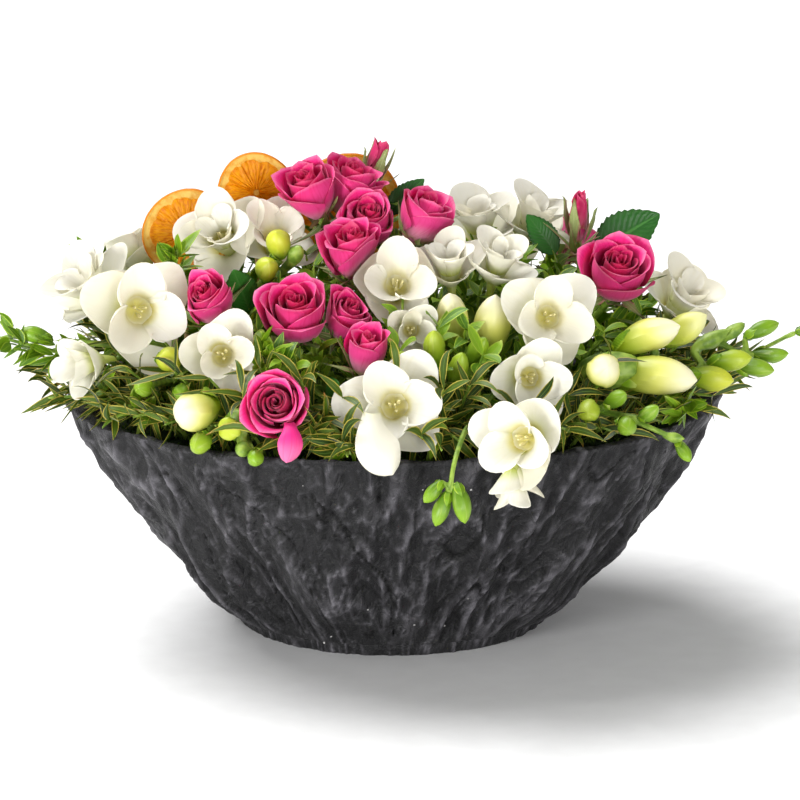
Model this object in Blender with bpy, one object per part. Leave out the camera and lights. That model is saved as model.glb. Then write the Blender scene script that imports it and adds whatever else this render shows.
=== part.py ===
"""Flower arrangement in a bowl: spray roses, freesias and dried orange slices in a rough dark bowl.

Lengths are in millimetres until an object is made, and +Z is up. The origin is the middle of the
bowl's foot, where it stands on the table, and the arrangement is looked at along +Y. Every stem
stands in a hole in the foam that fills the bowl, and every bloom sits on the stem that carries it.
"""
import math
import random

import bmesh
import bpy
import numpy as np
from mathutils.bvhtree import BVHTree

MM = 0.001
SEAT_GAP = 0.3

# Bowl
RIM_HALF_WIDTH = 170.0
RIM_HALF_DEPTH = 150.0
FOOT_HALF_WIDTH = 80.0
BOWL_HEIGHT = 123.0
BOWL_CURVE = 0.8
WALL = 8.0
FLOOR_THICKNESS = 9.0
FOOT_LIP = 3.0
FOOT_LIP_HEIGHT = 8.0
BOWL_SIDES = 56
BOWL_ROWS = 7
BOWL_FOLDS = (2.8, 2.3, 1.5)
BOWL_LUMP = 6.0

# Foam
FOAM_TOP = 110.0
FOAM_SHOULDER = 12.0
FOAM_SIDES = 20
STEM_DEPTH = 34.0
STEM_FOCUS = np.array((0.0, 0.0, -70.0))

# Blooms, in mm: a plane between neighbours keeps their petals apart
PETAL_THICKNESS = 1.2
LEAF_THICKNESS = 1.1
PLANE_MARGIN = 1.0
PLANE_SOFTNESS = (2.4, 0.8, 0.3)
RIM_CLEARANCE = 2.0
TUBE_FOOT = 1.7

# Name: centre, facing direction, radius, height, petal layers, turn
ROSES = {
    "rose_peak_left": ((-42, -14, 230), (-0.30, -0.40, 0.87), 16.5, 32, 3, 10),
    "rose_peak_right": ((-22, -2, 231), (0.20, -0.25, 0.95), 16.5, 32, 3, 70),
    "rose_bud_peak": ((-8, 17, 242), (0.30, 0.05, 0.95), 8.0, 27, 1, 0),
    "rose_crown": ((-12, -24, 217), (0.05, -0.62, 0.78), 16.5, 28, 3, 40),
    "rose_crown_right": ((16, -24, 219), (0.38, -0.30, 0.87), 15.5, 30, 3, 95),
    "rose_upright": ((-19, -51, 206), (-0.12, -0.38, 0.92), 15.5, 32, 3, 25),
    "rose_left": ((-91, -76, 186), (-0.30, -0.62, 0.72), 14.0, 26, 3, 55),
    "rose_heart": ((-47, -82, 181), (-0.05, -0.58, 0.81), 16.5, 32, 3, 15),
    "rose_middle": ((-22, -76, 178), (0.30, -0.60, 0.74), 13.5, 28, 3, 80),
    "rose_bud_egg": ((-12, -108, 167), (0.08, -0.45, 0.89), 11.5, 28, 2, 30),
    "rose_front": ((-54, -136, 148), (-0.10, -0.92, 0.38), 16.0, 26, 3, 60),
    "rose_right": ((114, -42, 194), (0.10, -0.62, 0.78), 17.0, 32, 3, 5),
    "rose_bud_right": ((98, 2, 216), (0.05, -0.12, 0.99), 8.5, 30, 1, 45),
    "rose_back_left": ((-78, 62, 203), (-0.25, 0.60, 0.76), 16.5, 30, 3, 20),
    "rose_back_right": ((96, 74, 189), (0.40, 0.62, 0.68), 16.0, 28, 3, 35),
}

# Name: one or more blooms, each with centre, facing direction, radius, opening from 0 to 1, turn
FREESIAS = {
    "freesia_left_front": (((-124, -72, 180), (0.30, -0.88, 0.10), 27, 0.90, 10),),
    "freesia_left_back": (((-156, -24, 184), (-0.50, -0.45, 0.72), 25, 0.80, 40),),
    "freesia_left_low": (((-153, -76, 154), (-0.72, -0.60, -0.05), 18, 0.35, 0),),
    "freesia_cup": (((-82, -102, 165), (0.05, -0.93, 0.30), 21, 0.55, 30),),
    "freesia_upper_left": (
        ((-88, -16, 209), (-0.25, -0.70, 0.66), 24, 0.80, 15),
        ((-60, -12, 208), (0.10, -0.62, 0.76), 22, 0.75, 45),
    ),
    "freesia_far_left": (((-138, 34, 190), (-0.45, 0.10, 0.85), 21, 0.70, 20),),
    "freesia_centre": (((3, -62, 193), (0.05, -0.80, 0.55), 24, 0.80, 0),),
    "freesia_centre_low": (((10, -88, 174), (0.20, -0.90, 0.25), 15, 0.45, 10),),
    "freesia_front": (((2, -133, 147), (0.02, -0.92, 0.36), 25, 0.80, 30),),
    "freesia_middle_pair": (
        ((29, -46, 199), (-0.10, -0.45, 0.89), 20, 0.55, 0),
        ((54, -42, 199), (0.20, -0.40, 0.89), 20, 0.55, 30),
    ),
    "freesia_upper_pair": (
        ((46, 30, 208), (-0.15, -0.30, 0.94), 24, 0.80, 20),
        ((76, 32, 209), (0.35, -0.25, 0.90), 23, 0.75, 50),
    ),
    "freesia_right_centre": (((78, -88, 181), (0.15, -0.93, 0.30), 23, 0.85, 0),),
    "freesia_right_low": (((68, -116, 156), (0.25, -0.92, 0.10), 19, 0.75, 30),),
    "freesia_hanging": (
        ((60, -165, 138), (-0.45, -0.87, 0.15), 23, 0.70, 15),
        ((58, -164, 115), (0.02, -0.30, -0.95), 15, 0.30, 40),
    ),
    "freesia_far_right": (((154, 8, 171), (0.45, -0.45, 0.78), 23, 0.80, 0),),
    "freesia_back_left": (((-106, 88, 180), (-0.45, 0.70, 0.55), 27, 0.80, 0),),
    "freesia_back_middle": (((-24, 104, 184), (-0.05, 0.80, 0.60), 28, 0.80, 10),),
    "freesia_back_right": (((52, 104, 180), (0.20, 0.82, 0.55), 27, 0.80, 20),),
}

# Name: centre, facing direction, radius of each dried slice
SLICES = {
    "orange_slice_left": ((-107, 8, 205), (-0.10, -0.97, 0.20), 23.5),
    "orange_slice_upper": ((-71, 18, 225), (0.05, -0.98, 0.18), 21.0),
    "orange_slice_large": ((-24, 36, 213), (0.08, -0.98, 0.16), 30.0),
}
SLICE_THICKNESS = 4.4
SLICE_WEDGES = 9
PICK_RADIUS = 1.2

# Green nodes: fork of the main stem, what it carries, its loose buds and its leaves.
# A bud is base, direction, length, radius. A leaf is root, direction, length, width.
GREENS = {
    "rose_spray_top": {
        "fork": (-14, -8, 178),
        "carries": ("rose_peak_left", "rose_peak_right", "rose_bud_peak", "rose_crown",
                    "rose_crown_right", "rose_upright"),
        "leaves": (((0, 2, 218), (0.65, 0.1, 0.75), 26, 13),),
    },
    "rose_spray_left": {
        "fork": (-42, -66, 138),
        "carries": ("rose_left", "rose_heart", "rose_middle", "rose_bud_egg", "rose_front"),
        "leaves": (((-72, -56, 178), (-0.2, -0.45, 0.85), 30, 17),
                   ((-30, -112, 146), (0.5, -0.6, 0.5), 24, 12)),
    },
    "rose_spray_right": {
        "fork": (98, -8, 160),
        "carries": ("rose_right", "rose_bud_right"),
        "leaves": (((110, 6, 196), (0.80, 0.05, 0.62), 38, 25),
                   ((84, 8, 196), (-0.5, 0.1, 0.8), 26, 15)),
    },
    "rose_spray_back": {
        "fork": (4, 52, 150),
        "carries": ("rose_back_left", "rose_back_right"),
        "leaves": (((-50, 74, 190), (-0.2, 0.75, 0.6), 32, 20),
                   ((72, 88, 168), (0.1, 0.9, 0.4), 30, 18)),
    },
    "freesia_stem_left": {
        "fork": (-106, -36, 140),
        "carries": ("freesia_left_front", "freesia_left_back", "freesia_left_low"),
        "buds": (((-112, -84, 158), (0.5, -0.85, 0.2), 13, 6.5),
                 ((-120, -92, 147), (-0.2, -0.95, 0.1), 14, 4.8),
                 ((-104, -96, 146), (0.3, -0.9, -0.1), 13, 4.5),
                 ((-172, -48, 160), (-0.95, -0.1, 0.3), 17, 4.5)),
    },
    "freesia_stem_cup": {
        "fork": (-84, -72, 130),
        "carries": ("freesia_cup",),
        "buds": (((-86, -116, 142), (-0.55, -0.80, 0.1), 27, 9.5),
                 ((-72, -120, 138), (-0.25, -0.93, -0.1), 22, 8.5),
                 ((-88, -128, 130), (-0.35, -0.9, -0.2), 15, 5.2),
                 ((-70, -136, 128), (-0.1, -0.95, -0.15), 14, 5.0),
                 ((-62, -138, 122), (0.2, -0.9, -0.5), 11, 4.0)),
    },
    "freesia_stem_upper_left": {
        "fork": (-86, -14, 160),
        "carries": ("freesia_upper_left", "freesia_far_left"),
        "buds": (((-63, -44, 191), (0.1, -0.7, 0.6), 17, 6.0),
                 ((-50, -42, 199), (0.35, -0.5, 0.75), 16, 5.5),
                 ((-56, -40, 202), (-0.1, -0.6, 0.75), 18, 6.5),
                 ((-64, -48, 180), (-0.2, -0.9, 0.2), 14, 5.0)),
    },
    "freesia_stem_centre": {
        "fork": (6, -70, 138),
        "carries": ("freesia_centre", "freesia_centre_low", "freesia_front"),
        "buds": (((24, -100, 158), (-0.15, -0.4, 0.9), 22, 5.4),
                 ((30, -104, 150), (0.2, -0.5, 0.8), 22, 5.2),
                 ((36, -96, 158), (0.5, -0.4, 0.75), 20, 5.0),
                 ((8, -112, 156), (-0.2, -0.6, 0.75), 16, 5.2)),
    },
    "freesia_stem_middle": {
        "fork": (44, -6, 165),
        "carries": ("freesia_middle_pair", "freesia_upper_pair"),
        "buds": (((32, -70, 160), (-0.1, -0.3, 0.95), 32, 8.2),
                 ((48, -66, 154), (0.1, -0.25, 0.96), 36, 9.5)),
    },
    "freesia_spike_right": {
        "fork": (92, -52, 138),
        "carries": ("freesia_right_centre", "freesia_far_right"),
        "reach": ((120, -66, 146), (160, -56, 146), (202, -35, 159)),
        "buds": (((86, -86, 157), (0.72, -0.45, 0.45), 34, 11.0),
                 ((102, -100, 156), (0.15, -0.85, 0.3), 16, 8.5),
                 ((110, -76, 149), (0.88, -0.40, 0.02), 44, 10.0),
                 ((112, -66, 159), (0.80, -0.30, 0.38), 36, 8.5),
                 ((132, -58, 162), (0.80, -0.20, 0.45), 30, 7.5),
                 ((148, -66, 146), (0.90, -0.30, -0.05), 24, 6.5),
                 ((152, -48, 155), (0.85, 0.05, 0.45), 24, 6.0),
                 ((160, -58, 150), (0.92, -0.25, 0.20), 22, 5.5),
                 ((166, -44, 158), (0.80, 0.10, 0.55), 22, 5.2),
                 ((174, -52, 148), (0.95, -0.2, -0.1), 20, 4.8),
                 ((180, -40, 160), (0.90, 0.1, 0.35), 19, 4.2),
                 ((184, -44, 152), (0.95, -0.15, 0.05), 18, 4.0),
                 ((207, -34, 161), (0.95, 0.05, 0.25), 12, 3.4)),
    },
    "freesia_spike_hanging": {
        "fork": (48, -98, 130),
        "carries": ("freesia_right_low", "freesia_hanging"),
        "reach": ((38, -132, 138), (31, -158, 130), (28, -166, 114)),
        "buds": (((27, -167, 113), (-0.35, -0.15, -0.9), 17, 4.0),
                 ((31, -166, 117), (0.20, -0.25, -0.95), 19, 4.4),
                 ((24, -166, 118), (-0.6, -0.1, -0.7), 13, 3.4)),
    },
    "freesia_spike_low_right": {
        "fork": (92, -92, 134),
        "carries": (),
        "reach": ((106, -112, 138), (128, -124, 132), (142, -122, 124)),
        "buds": (((96, -116, 140), (-0.1, -0.85, 0.15), 17, 5.6),
                 ((104, -114, 142), (0.55, -0.6, 0.5), 15, 4.2),
                 ((112, -122, 136), (0.1, -0.95, -0.1), 12, 4.8),
                 ((120, -120, 137), (0.6, -0.5, 0.55), 13, 3.8),
                 ((132, -123, 129), (0.85, -0.45, 0.0), 12, 3.4),
                 ((138, -122, 126), (0.5, -0.5, -0.7), 12, 3.2)),
    },
    "freesia_stem_back": {
        "fork": (-20, 66, 138),
        "carries": ("freesia_back_left", "freesia_back_middle", "freesia_back_right"),
        "buds": (((-128, 62, 152), (-0.85, 0.4, 0.3), 26, 7.0),
                 ((-136, 50, 146), (-0.9, 0.2, 0.1), 22, 5.5),
                 ((112, 92, 150), (0.6, 0.75, 0.2), 26, 7.0),
                 ((124, 80, 144), (0.8, 0.55, 0.0), 22, 5.5)),
    },
}

# Leafy sprigs: the fork of the stem, then branches by way points, leaf length, width and pairs
SPRIGS = {
    "greenery_left": {
        "fork": (-112, -22, 132),
        "branches": (
            (((-140, -40, 146), (-168, -50, 154), (-203, -52, 164)), 17, 6.5, 8),
            (((-150, 4, 160), (-158, -2, 184), (-163, -14, 206)), 15, 6.5, 5),
            (((-132, -62, 136), (-158, -78, 138), (-176, -82, 134)), 26, 6.0, 5),
            (((-118, -72, 134), (-136, -96, 132), (-142, -110, 127)), 26, 6.0, 5),
        ),
    },
    "greenery_upper_left": {
        "fork": (-112, -14, 150),
        "branches": (
            (((-112, -24, 176), (-110, -34, 196), (-107, -38, 209)), 18, 7.0, 5),
        ),
    },
    "greenery_front": {
        "fork": (-22, -96, 130),
        "branches": (
            (((-36, -98, 144), (-58, -104, 158), (-60, -110, 172)), 18, 6.5, 5),
            (((-26, -112, 138), (-34, -130, 138), (-36, -152, 132)), 27, 6.5, 5),
            (((-18, -112, 132), (-21, -134, 128), (-20, -158, 127)), 27, 6.5, 5),
            (((4, -100, 130), (24, -122, 132), (34, -146, 130)), 27, 6.5, 5),
        ),
    },
    "greenery_right": {
        "fork": (126, -24, 134),
        "branches": (
            (((140, -50, 136), (146, -76, 134), (140, -104, 128)), 20, 10.0, 4),
            (((148, -22, 140), (166, -16, 142), (184, -8, 138)), 26, 6.5, 4),
        ),
    },
    "greenery_back": {
        "fork": (0, 96, 128),
        "branches": (
            (((-30, 112, 132), (-46, 134, 136), (-50, 156, 132)), 27, 6.5, 5),
            (((20, 116, 132), (30, 136, 136), (36, 158, 134)), 27, 6.5, 5),
            (((60, 100, 134), (110, 96, 138), (138, 96, 136)), 24, 8.5, 5),
            (((-60, 96, 130), (-110, 86, 134), (-150, 88, 134)), 24, 8.5, 5),
        ),
    },
}

# Half-widths and places of the edge points of a toothed leaf, as shares of its width and length
LEAF_EDGE = ((0.30, 0.12), (0.50, 0.26), (0.42, 0.34), (0.54, 0.50), (0.42, 0.58),
             (0.42, 0.74), (0.28, 0.80))

MAIN_STEM_RADIUS = 2.2
BRANCH_RADIUS = 1.5
SPRIG_RADIUS = 1.4
SPRIG_STEM_RADIUS = 1.8
HOLE_GAP = 0.6
SEPALS = 5
TRIES = 70
SCRAP_POINTS = 12


def unit(vector):
    """The vector at length one."""
    vector = np.asarray(vector, float)
    return vector / np.linalg.norm(vector)


def axes(direction, turn=0.0):
    """Columns across, over and along, where along is the direction and turn spins the others."""
    along = unit(direction)
    helper = np.array((0.0, 0.0, 1.0)) if abs(along[2]) < 0.9 else np.array((0.0, 1.0, 0.0))
    across = unit(np.cross(helper, along))
    over = np.cross(along, across)
    cos, sin = math.cos(turn), math.sin(turn)
    return np.column_stack((cos * across + sin * over, cos * over - sin * across, along))


def outward(vertices, faces):
    """The shape with its faces turned outwards."""
    vertices = np.asarray(vertices, float)
    corners = vertices[np.asarray(faces)]
    volume = np.einsum("ij,ij->i", corners[:, 0], np.cross(corners[:, 1], corners[:, 2])).sum()
    if volume < 0:
        faces = [face[::-1] for face in faces]
    return vertices, [tuple(int(i) for i in face) for face in faces]


def skin_faces(rings):
    """Triangles between rings of vertex numbers, with flat ends; a ring of one number is a point."""
    sides = len(rings[0])
    faces = []
    for low, high in zip(rings, rings[1:]):
        for side in range(sides):
            after = (side + 1) % sides
            if low[side] != low[after]:
                faces.append((low[side], low[after], high[side]))
            if high[side] != high[after]:
                faces.append((low[after], high[after], high[side]))
    for ring, flip in ((rings[0], True), (rings[-1], False)):
        if ring[0] == ring[1]:
            continue
        for side in range(1, sides - 1):
            face = (ring[0], ring[side], ring[side + 1])
            faces.append(face[::-1] if flip else face)
    return faces


class Skin:
    """One continuous closed skin: leaves, sepals and tips are drawn out of its faces."""

    def __init__(self):
        self.vertices = []
        self.faces = []

    def ring(self, points):
        """Add a ring of points; return their numbers."""
        first = len(self.vertices)
        self.vertices += [np.asarray(point, float) for point in points]
        return list(range(first, len(self.vertices)))

    def join(self, low, high):
        """Skin between two rings, which may differ in count; return the new faces' numbers."""
        first = len(self.faces)
        if len(low) == len(high):
            for number in range(len(low)):
                after = (number + 1) % len(low)
                self.faces.append((low[number], low[after], high[after], high[number]))
            return list(range(first, len(self.faces)))
        i = j = 0
        while i < len(low) or j < len(high):
            a, b = low[i % len(low)], high[j % len(high)]
            if j == len(high) or (i < len(low) and (i + 1) / len(low) <= (j + 1) / len(high)):
                self.faces.append((a, low[(i + 1) % len(low)], b))
                i += 1
            else:
                self.faces.append((a, high[(j + 1) % len(high)], b))
                j += 1
        return list(range(first, len(self.faces)))

    def draw_out(self, number, rings, tip):
        """Pull a face out through rings of points to a tip."""
        low = list(self.faces[number])
        self.faces[number] = None
        for points in rings:
            start = self.vertices[low[0]]
            gaps = [np.linalg.norm(np.asarray(point) - start) for point in points]
            turn = int(np.argmin(gaps))
            high = self.ring(points[turn:] + points[:turn])
            self.join(low, high)
            low = high
        self.close(low, tip)

    def draw_petal(self, number, middle):
        """Pull a face out into a petal around the last two rows of a grid of points."""
        rows = middle[-2:]
        side = np.gradient(rows[0], axis=0)
        normal = np.cross(side, rows[1] - rows[0])
        normal *= 0.5 * PETAL_THICKNESS / np.linalg.norm(normal, axis=1, keepdims=True)
        upper = self.ring(rows[0])
        lower = [upper[0]] + self.ring((rows[0] - normal)[1:-1]) + [upper[-1]]
        for column in range(1, len(upper) - 1):
            self.vertices[upper[column]] = rows[0][column] + normal[column]
        edge = self.ring(rows[1])
        low = list(self.faces[number])
        self.faces[number] = None
        start = self.vertices[upper[0]]
        turn = int(np.argmin([np.linalg.norm(self.vertices[corner] - start) for corner in low]))
        self.join(low[turn:] + low[:turn], upper + lower[-2:0:-1])
        for column in range(len(upper) - 1):
            after = column + 1
            self.faces.append((upper[column], upper[after], edge[after]))
            self.faces.append((upper[column], edge[after], edge[column]))
            self.faces.append((lower[column], edge[after], lower[after]))
            self.faces.append((lower[column], edge[column], edge[after]))

    def close(self, ring, tip=None):
        """End the skin at a ring, flat or in a point."""
        if tip is None:
            self.faces.append(tuple(ring))
            return
        end = self.ring([tip])[0]
        for number, corner in enumerate(ring):
            self.faces.append((corner, ring[(number + 1) % len(ring)], end))

    def middle(self, number):
        return np.mean([self.vertices[corner] for corner in self.faces[number]], axis=0)

    def shape(self):
        """Vertices and triangles."""
        triangles = []
        for face in self.faces:
            if face is not None:
                triangles += [(face[0], face[k], face[k + 1]) for k in range(1, len(face) - 1)]
        return outward(np.array(self.vertices), triangles)


def rod(points, radii, sides=4, tip=None):
    """Round rod along the points as a skin, with the side faces of each stretch; may end in a tip."""
    points = np.asarray(points, float)
    heading = np.gradient(points, axis=0)
    across = axes(heading[0])[:, 0]
    skin = Skin()
    rings = []
    for point, along, radius in zip(points, heading, radii):
        along = unit(along)
        across = unit(across - along * (across @ along))
        over = np.cross(along, across)
        angles = [2 * math.pi * side / sides for side in range(sides)]
        rings.append(skin.ring([point + radius * (math.cos(t) * across + math.sin(t) * over)
                                for t in angles]))
    skin.faces.append(tuple(reversed(rings[0])))
    stretches = [skin.join(low, high) for low, high in zip(rings, rings[1:])]
    skin.close(rings[-1], tip)
    return skin, stretches


def ring_points(radius, height=0.0, sides=6):
    """Points around the +Z axis."""
    angles = [2 * math.pi * side / sides for side in range(sides)]
    return np.array([(radius * math.cos(t), radius * math.sin(t), height) for t in angles])


def turned_skin(profile, sides, move):
    """Turned solid as a skin: (radius, height) points up to a tip on the axis, moved into place."""
    skin = Skin()
    rings = []
    for radius, height in profile[:-1]:
        rings.append(skin.ring(move(ring_points(radius, height, sides))))
    skin.faces.append(tuple(reversed(rings[0])))
    stretches = [skin.join(low, high) for low, high in zip(rings, rings[1:])]
    skin.close(rings[-1], move(np.array([(0.0, 0.0, profile[-1][1])]))[0])
    return skin, stretches


def tube(points, radii, sides=4):
    """Closed round rod along the points, as a shape."""
    return rod(points, radii, sides)[0].shape()


def blade_ring(middle, along, flat, width, thickness):
    """Four points of a leaf's lens-shaped section: right edge, upper side, left edge, underside."""
    side = unit(np.cross(flat, along))
    up = np.cross(unit(along), side)
    return [middle + side * 0.5 * width, middle + up * 0.5 * thickness,
            middle - side * 0.5 * width, middle - up * 0.5 * thickness]


def sprout(crowd, node, skin, number, direction, flat, length, width, sag):
    """Draw a pointed leaf out of a face of the skin where it is free; True if it was."""
    root = skin.middle(number)
    direction = unit(direction)
    drop = np.array((0.0, 0.0, -sag * length))
    widest = root + direction * 0.42 * length + 0.3 * drop
    tip = root + direction * length + drop
    ring = blade_ring(widest, direction, flat, width, LEAF_THICKNESS)
    trial = Skin()
    wide = blade_ring(widest, direction, flat, width + 2 * SEAT_GAP, LEAF_THICKNESS + 2 * SEAT_GAP)
    trial.close(list(reversed(trial.ring(wide))), root + direction * 2.0)
    trial.close([0, 1, 2, 3], tip + direction * SEAT_GAP)
    shape = trial.shape()
    if not crowd.clear(shape, None):
        return False
    skin.draw_out(number, [ring], tip)
    crowd.guard(node, shape)
    return True


def placed(shape, base, direction, turn=0.0):
    """The shape moved from the origin and +Z to a base point and direction."""
    vertices, faces = shape
    return vertices @ axes(direction, turn).T + np.asarray(base, float), faces


def curve(points, steps):
    """Points of a smooth quadratic curve through three given ones, or along two."""
    points = [np.asarray(point, float) for point in points]
    t = np.linspace(0.0, 1.0, steps + 1)[:, None]
    if len(points) == 2:
        return points[0] + (points[1] - points[0]) * t
    first, middle, last = points
    control = 2 * middle - 0.5 * (first + last)
    return (1 - t) ** 2 * first + 2 * t * (1 - t) * control + t ** 2 * last


def squeezed(points, planes):
    """The points bent back from each plane, so that a bloom stays on its own side of it."""
    points = np.asarray(points, float)
    flat = points.reshape(-1, 3).copy()
    for softness in PLANE_SOFTNESS:
        for centre, normal in planes:
            depth = (flat - centre) @ normal
            kept = PLANE_MARGIN + softness * np.logaddexp(0.0, (depth - PLANE_MARGIN) / softness)
            flat += np.outer(kept - depth, normal)
    return flat.reshape(points.shape)


def petal(azimuth, start, lean, length, half_width, spread, twist, rows, columns, tip):
    """Middle surface of a petal that wraps an axis along +Z.

    It leaves the (radius, height) start, and its slope away from the axis goes from the first
    lean angle to the second. Its edges wrap no further than the spread, in degrees, and twist
    sets one edge further out than the other. Tip rounds its end.
    """
    v, u = np.meshgrid(np.linspace(0, 1, rows + 1), np.linspace(-1, 1, columns + 1), indexing="ij")
    run = v * (1 - tip * u ** 2 * v)
    first, bend = math.radians(lean[0]), math.radians(lean[1] - lean[0])
    radius = start[0] + length * (math.cos(first) - np.cos(first + bend * run)) / bend
    height = start[1] + length * (np.sin(first + bend * run) - math.sin(first)) / bend
    width = half_width * np.sin(math.pi * 0.68 * v)
    angle = math.radians(azimuth) + u * np.minimum(width / radius, math.radians(spread))
    radius = radius + twist * u * np.minimum(1.0, 4 * v)
    return np.stack((radius * np.cos(angle), radius * np.sin(angle), height), axis=-1)


def leaf(root, direction, length, width, turn=0.0):
    """Leaf blade, thick at its middle: its outline stations run along it on both sides."""
    outline = [(-0.1, 0.0)] + [(-half, along) for half, along in LEAF_EDGE]
    outline += [(0.0, 1.0)] + [(half, along) for half, along in reversed(LEAF_EDGE)] + [(0.1, 0.0)]
    local = []
    for half, along in outline:
        fold = 0.10 * abs(half) * width
        local.append((half * width, fold - 0.14 * length * along ** 2, along * length))
    middle = 0.45 * length
    lift = -0.14 * length * 0.45 ** 2
    local.append((0.0, lift + 0.5 * LEAF_THICKNESS, middle))
    local.append((0.0, lift - 0.5 * LEAF_THICKNESS, middle))
    vertices = np.array(local) @ axes(direction, turn).T + np.asarray(root, float)
    count = len(outline)
    faces = []
    for number in range(count):
        after = (number + 1) % count
        faces.append((number, after, count))
        faces.append((after, number, count + 1))
    return outward(vertices, faces)


class Crowd:
    """Everything built so far, by node, for finding free space for stems, buds and leaves."""

    def __init__(self):
        self.shapes = {}
        self.trees = []

    def keep(self, node, shape):
        """Make the shape part of its node."""
        self.shapes.setdefault(node, []).append(shape)

    def add(self, node, shape):
        """Make the shape part of its node and keep its space."""
        self.keep(node, shape)
        self.guard(node, shape)

    def guard(self, node, shape):
        """Keep a shape's space without adding it to its node, whose skin holds it already."""
        vertices, faces = shape
        tree = BVHTree.FromPolygons(vertices.tolist(), faces)
        self.trees.append((node, tree, vertices.min(axis=0), vertices.max(axis=0)))

    def clear(self, shape, node):
        """True where the shape crosses no other node's shapes."""
        vertices, faces = shape
        low, high = vertices.min(axis=0), vertices.max(axis=0)
        tree = None
        for other, other_tree, other_low, other_high in self.trees:
            if other == node or (low > other_high).any() or (high < other_low).any():
                continue
            tree = tree or BVHTree.FromPolygons(vertices.tolist(), faces)
            if tree.overlap(other_tree):
                return False
        return True


def mesh_object(name, shape):
    """New Blender object, in metres, from a shape in millimetres."""
    vertices, faces = shape
    mesh = bpy.data.meshes.new(name)
    mesh.from_pydata((np.asarray(vertices) * MM).tolist(), [], faces)
    mesh.update()
    return bpy.data.objects.new(name, mesh)


def boolean(body, shapes, operation):
    """Join the shapes to the body, or cut them from it, with one Boolean on a collection."""
    collection = bpy.data.collections.new(body.name + "_tools")
    bpy.context.scene.collection.children.link(collection)
    for number, shape in enumerate(shapes):
        collection.objects.link(mesh_object("%s_%d" % (body.name, number), shape))
    modifier = body.modifiers.new(operation.lower(), "BOOLEAN")
    modifier.operation = operation
    modifier.operand_type = "COLLECTION"
    modifier.collection = collection
    modifier.solver = "MANIFOLD"
    bpy.context.view_layer.update()
    evaluated = body.evaluated_get(bpy.context.evaluated_depsgraph_get())
    result = bpy.data.meshes.new_from_object(evaluated)
    body.modifiers.clear()
    body.data = result
    for tool in list(collection.objects):
        bpy.data.objects.remove(tool)
    bpy.data.collections.remove(collection)


def make_node(name, shapes, material):
    """One object for a node: its first shape, with all its others joined to it."""
    body = mesh_object(name, shapes[0])
    bpy.context.scene.collection.objects.link(body)
    if len(shapes) > 1:
        boolean(body, shapes[1:], "UNION")
        drop_scraps(body.data)
    finish(body, material)
    return body


def drop_scraps(mesh):
    """Delete every small loose scrap that the join leaves beside the largest piece."""
    model = bmesh.new()
    model.from_mesh(mesh)
    waiting = set(model.verts)
    pieces = []
    while waiting:
        piece = {waiting.pop()}
        edge_of_piece = list(piece)
        while edge_of_piece:
            for edge in edge_of_piece.pop().link_edges:
                for corner in edge.verts:
                    if corner in waiting:
                        waiting.discard(corner)
                        piece.add(corner)
                        edge_of_piece.append(corner)
        pieces.append(piece)
    pieces.sort(key=len)
    scraps = [corner for piece in pieces[:-1] if len(piece) < SCRAP_POINTS for corner in piece]
    bmesh.ops.delete(model, geom=scraps, context="VERTS")
    model.to_mesh(mesh)
    model.free()


def finish(body, material):
    """Give the object its one material and smooth shading with crisp edges."""
    body.data.materials.clear()
    body.data.materials.append(material)
    body.data.shade_smooth()
    body.data.set_sharp_from_angle(angle=math.radians(38))


def make_material(name, colour, roughness, metallic=0.0):
    """Principled material from its colour, roughness and metallic value."""
    material = bpy.data.materials.new(name)
    material.use_nodes = True
    shader = material.node_tree.nodes["Principled BSDF"]
    shader.inputs["Base Color"].default_value = (*colour, 1.0)
    shader.inputs["Roughness"].default_value = roughness
    shader.inputs["Metallic"].default_value = metallic
    return material


def bowl_half_width(height):
    """Smooth half-width of the bowl's outside at a height."""
    share = np.clip(height / BOWL_HEIGHT, 0.0, 1.0) ** BOWL_CURVE
    return FOOT_HALF_WIDTH + (RIM_HALF_WIDTH - FOOT_HALF_WIDTH) * share


def bowl_inside(height):
    """Half-width of the bowl's straight-sided inside at a height."""
    levels = (FLOOR_THICKNESS, 0.5 * BOWL_HEIGHT, BOWL_HEIGHT - 2.0)
    return float(np.interp(height, levels, [bowl_half_width(level) - WALL for level in levels]))


def bowl_relief(angle, share):
    """How far the rough outside stands out: slanting folds, one lump at the right, plain foot."""
    broad, middle, fine = BOWL_FOLDS
    folds = (1.5 + broad * math.sin(7 * angle + 3.0 * share + 0.8 * math.sin(3 * angle))
             + middle * math.sin(12 * angle - 5.5 * share + 1.0)
             + fine * math.sin(17 * angle + 8.0 * share + 1.5 * math.sin(5 * angle)))
    lump = BOWL_LUMP * math.exp(-((angle + 0.25) / 0.22) ** 2 - ((share - 0.42) / 0.16) ** 2)
    fade = min(1.0, share / 0.14) * (1.0 - 0.6 * share ** 4)
    return (folds + lump) * fade


def oval_ring(half_width, height, sides, relief_share=None):
    """One ring of the bowl or foam: an oval at a height, with the bowl's relief at a share."""
    half_depth = half_width - RIM_HALF_WIDTH + RIM_HALF_DEPTH
    if half_width < RIM_HALF_WIDTH:
        half_depth = half_width * RIM_HALF_DEPTH / RIM_HALF_WIDTH
    ring = []
    for side in range(sides):
        angle = 2 * math.pi * side / sides
        if angle > math.pi:
            angle -= 2 * math.pi
        relief = 0.0 if relief_share is None else bowl_relief(angle, relief_share)
        ring.append(((half_width + relief) * math.cos(angle),
                     (half_depth + relief) * math.sin(angle), height))
    return ring


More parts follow.
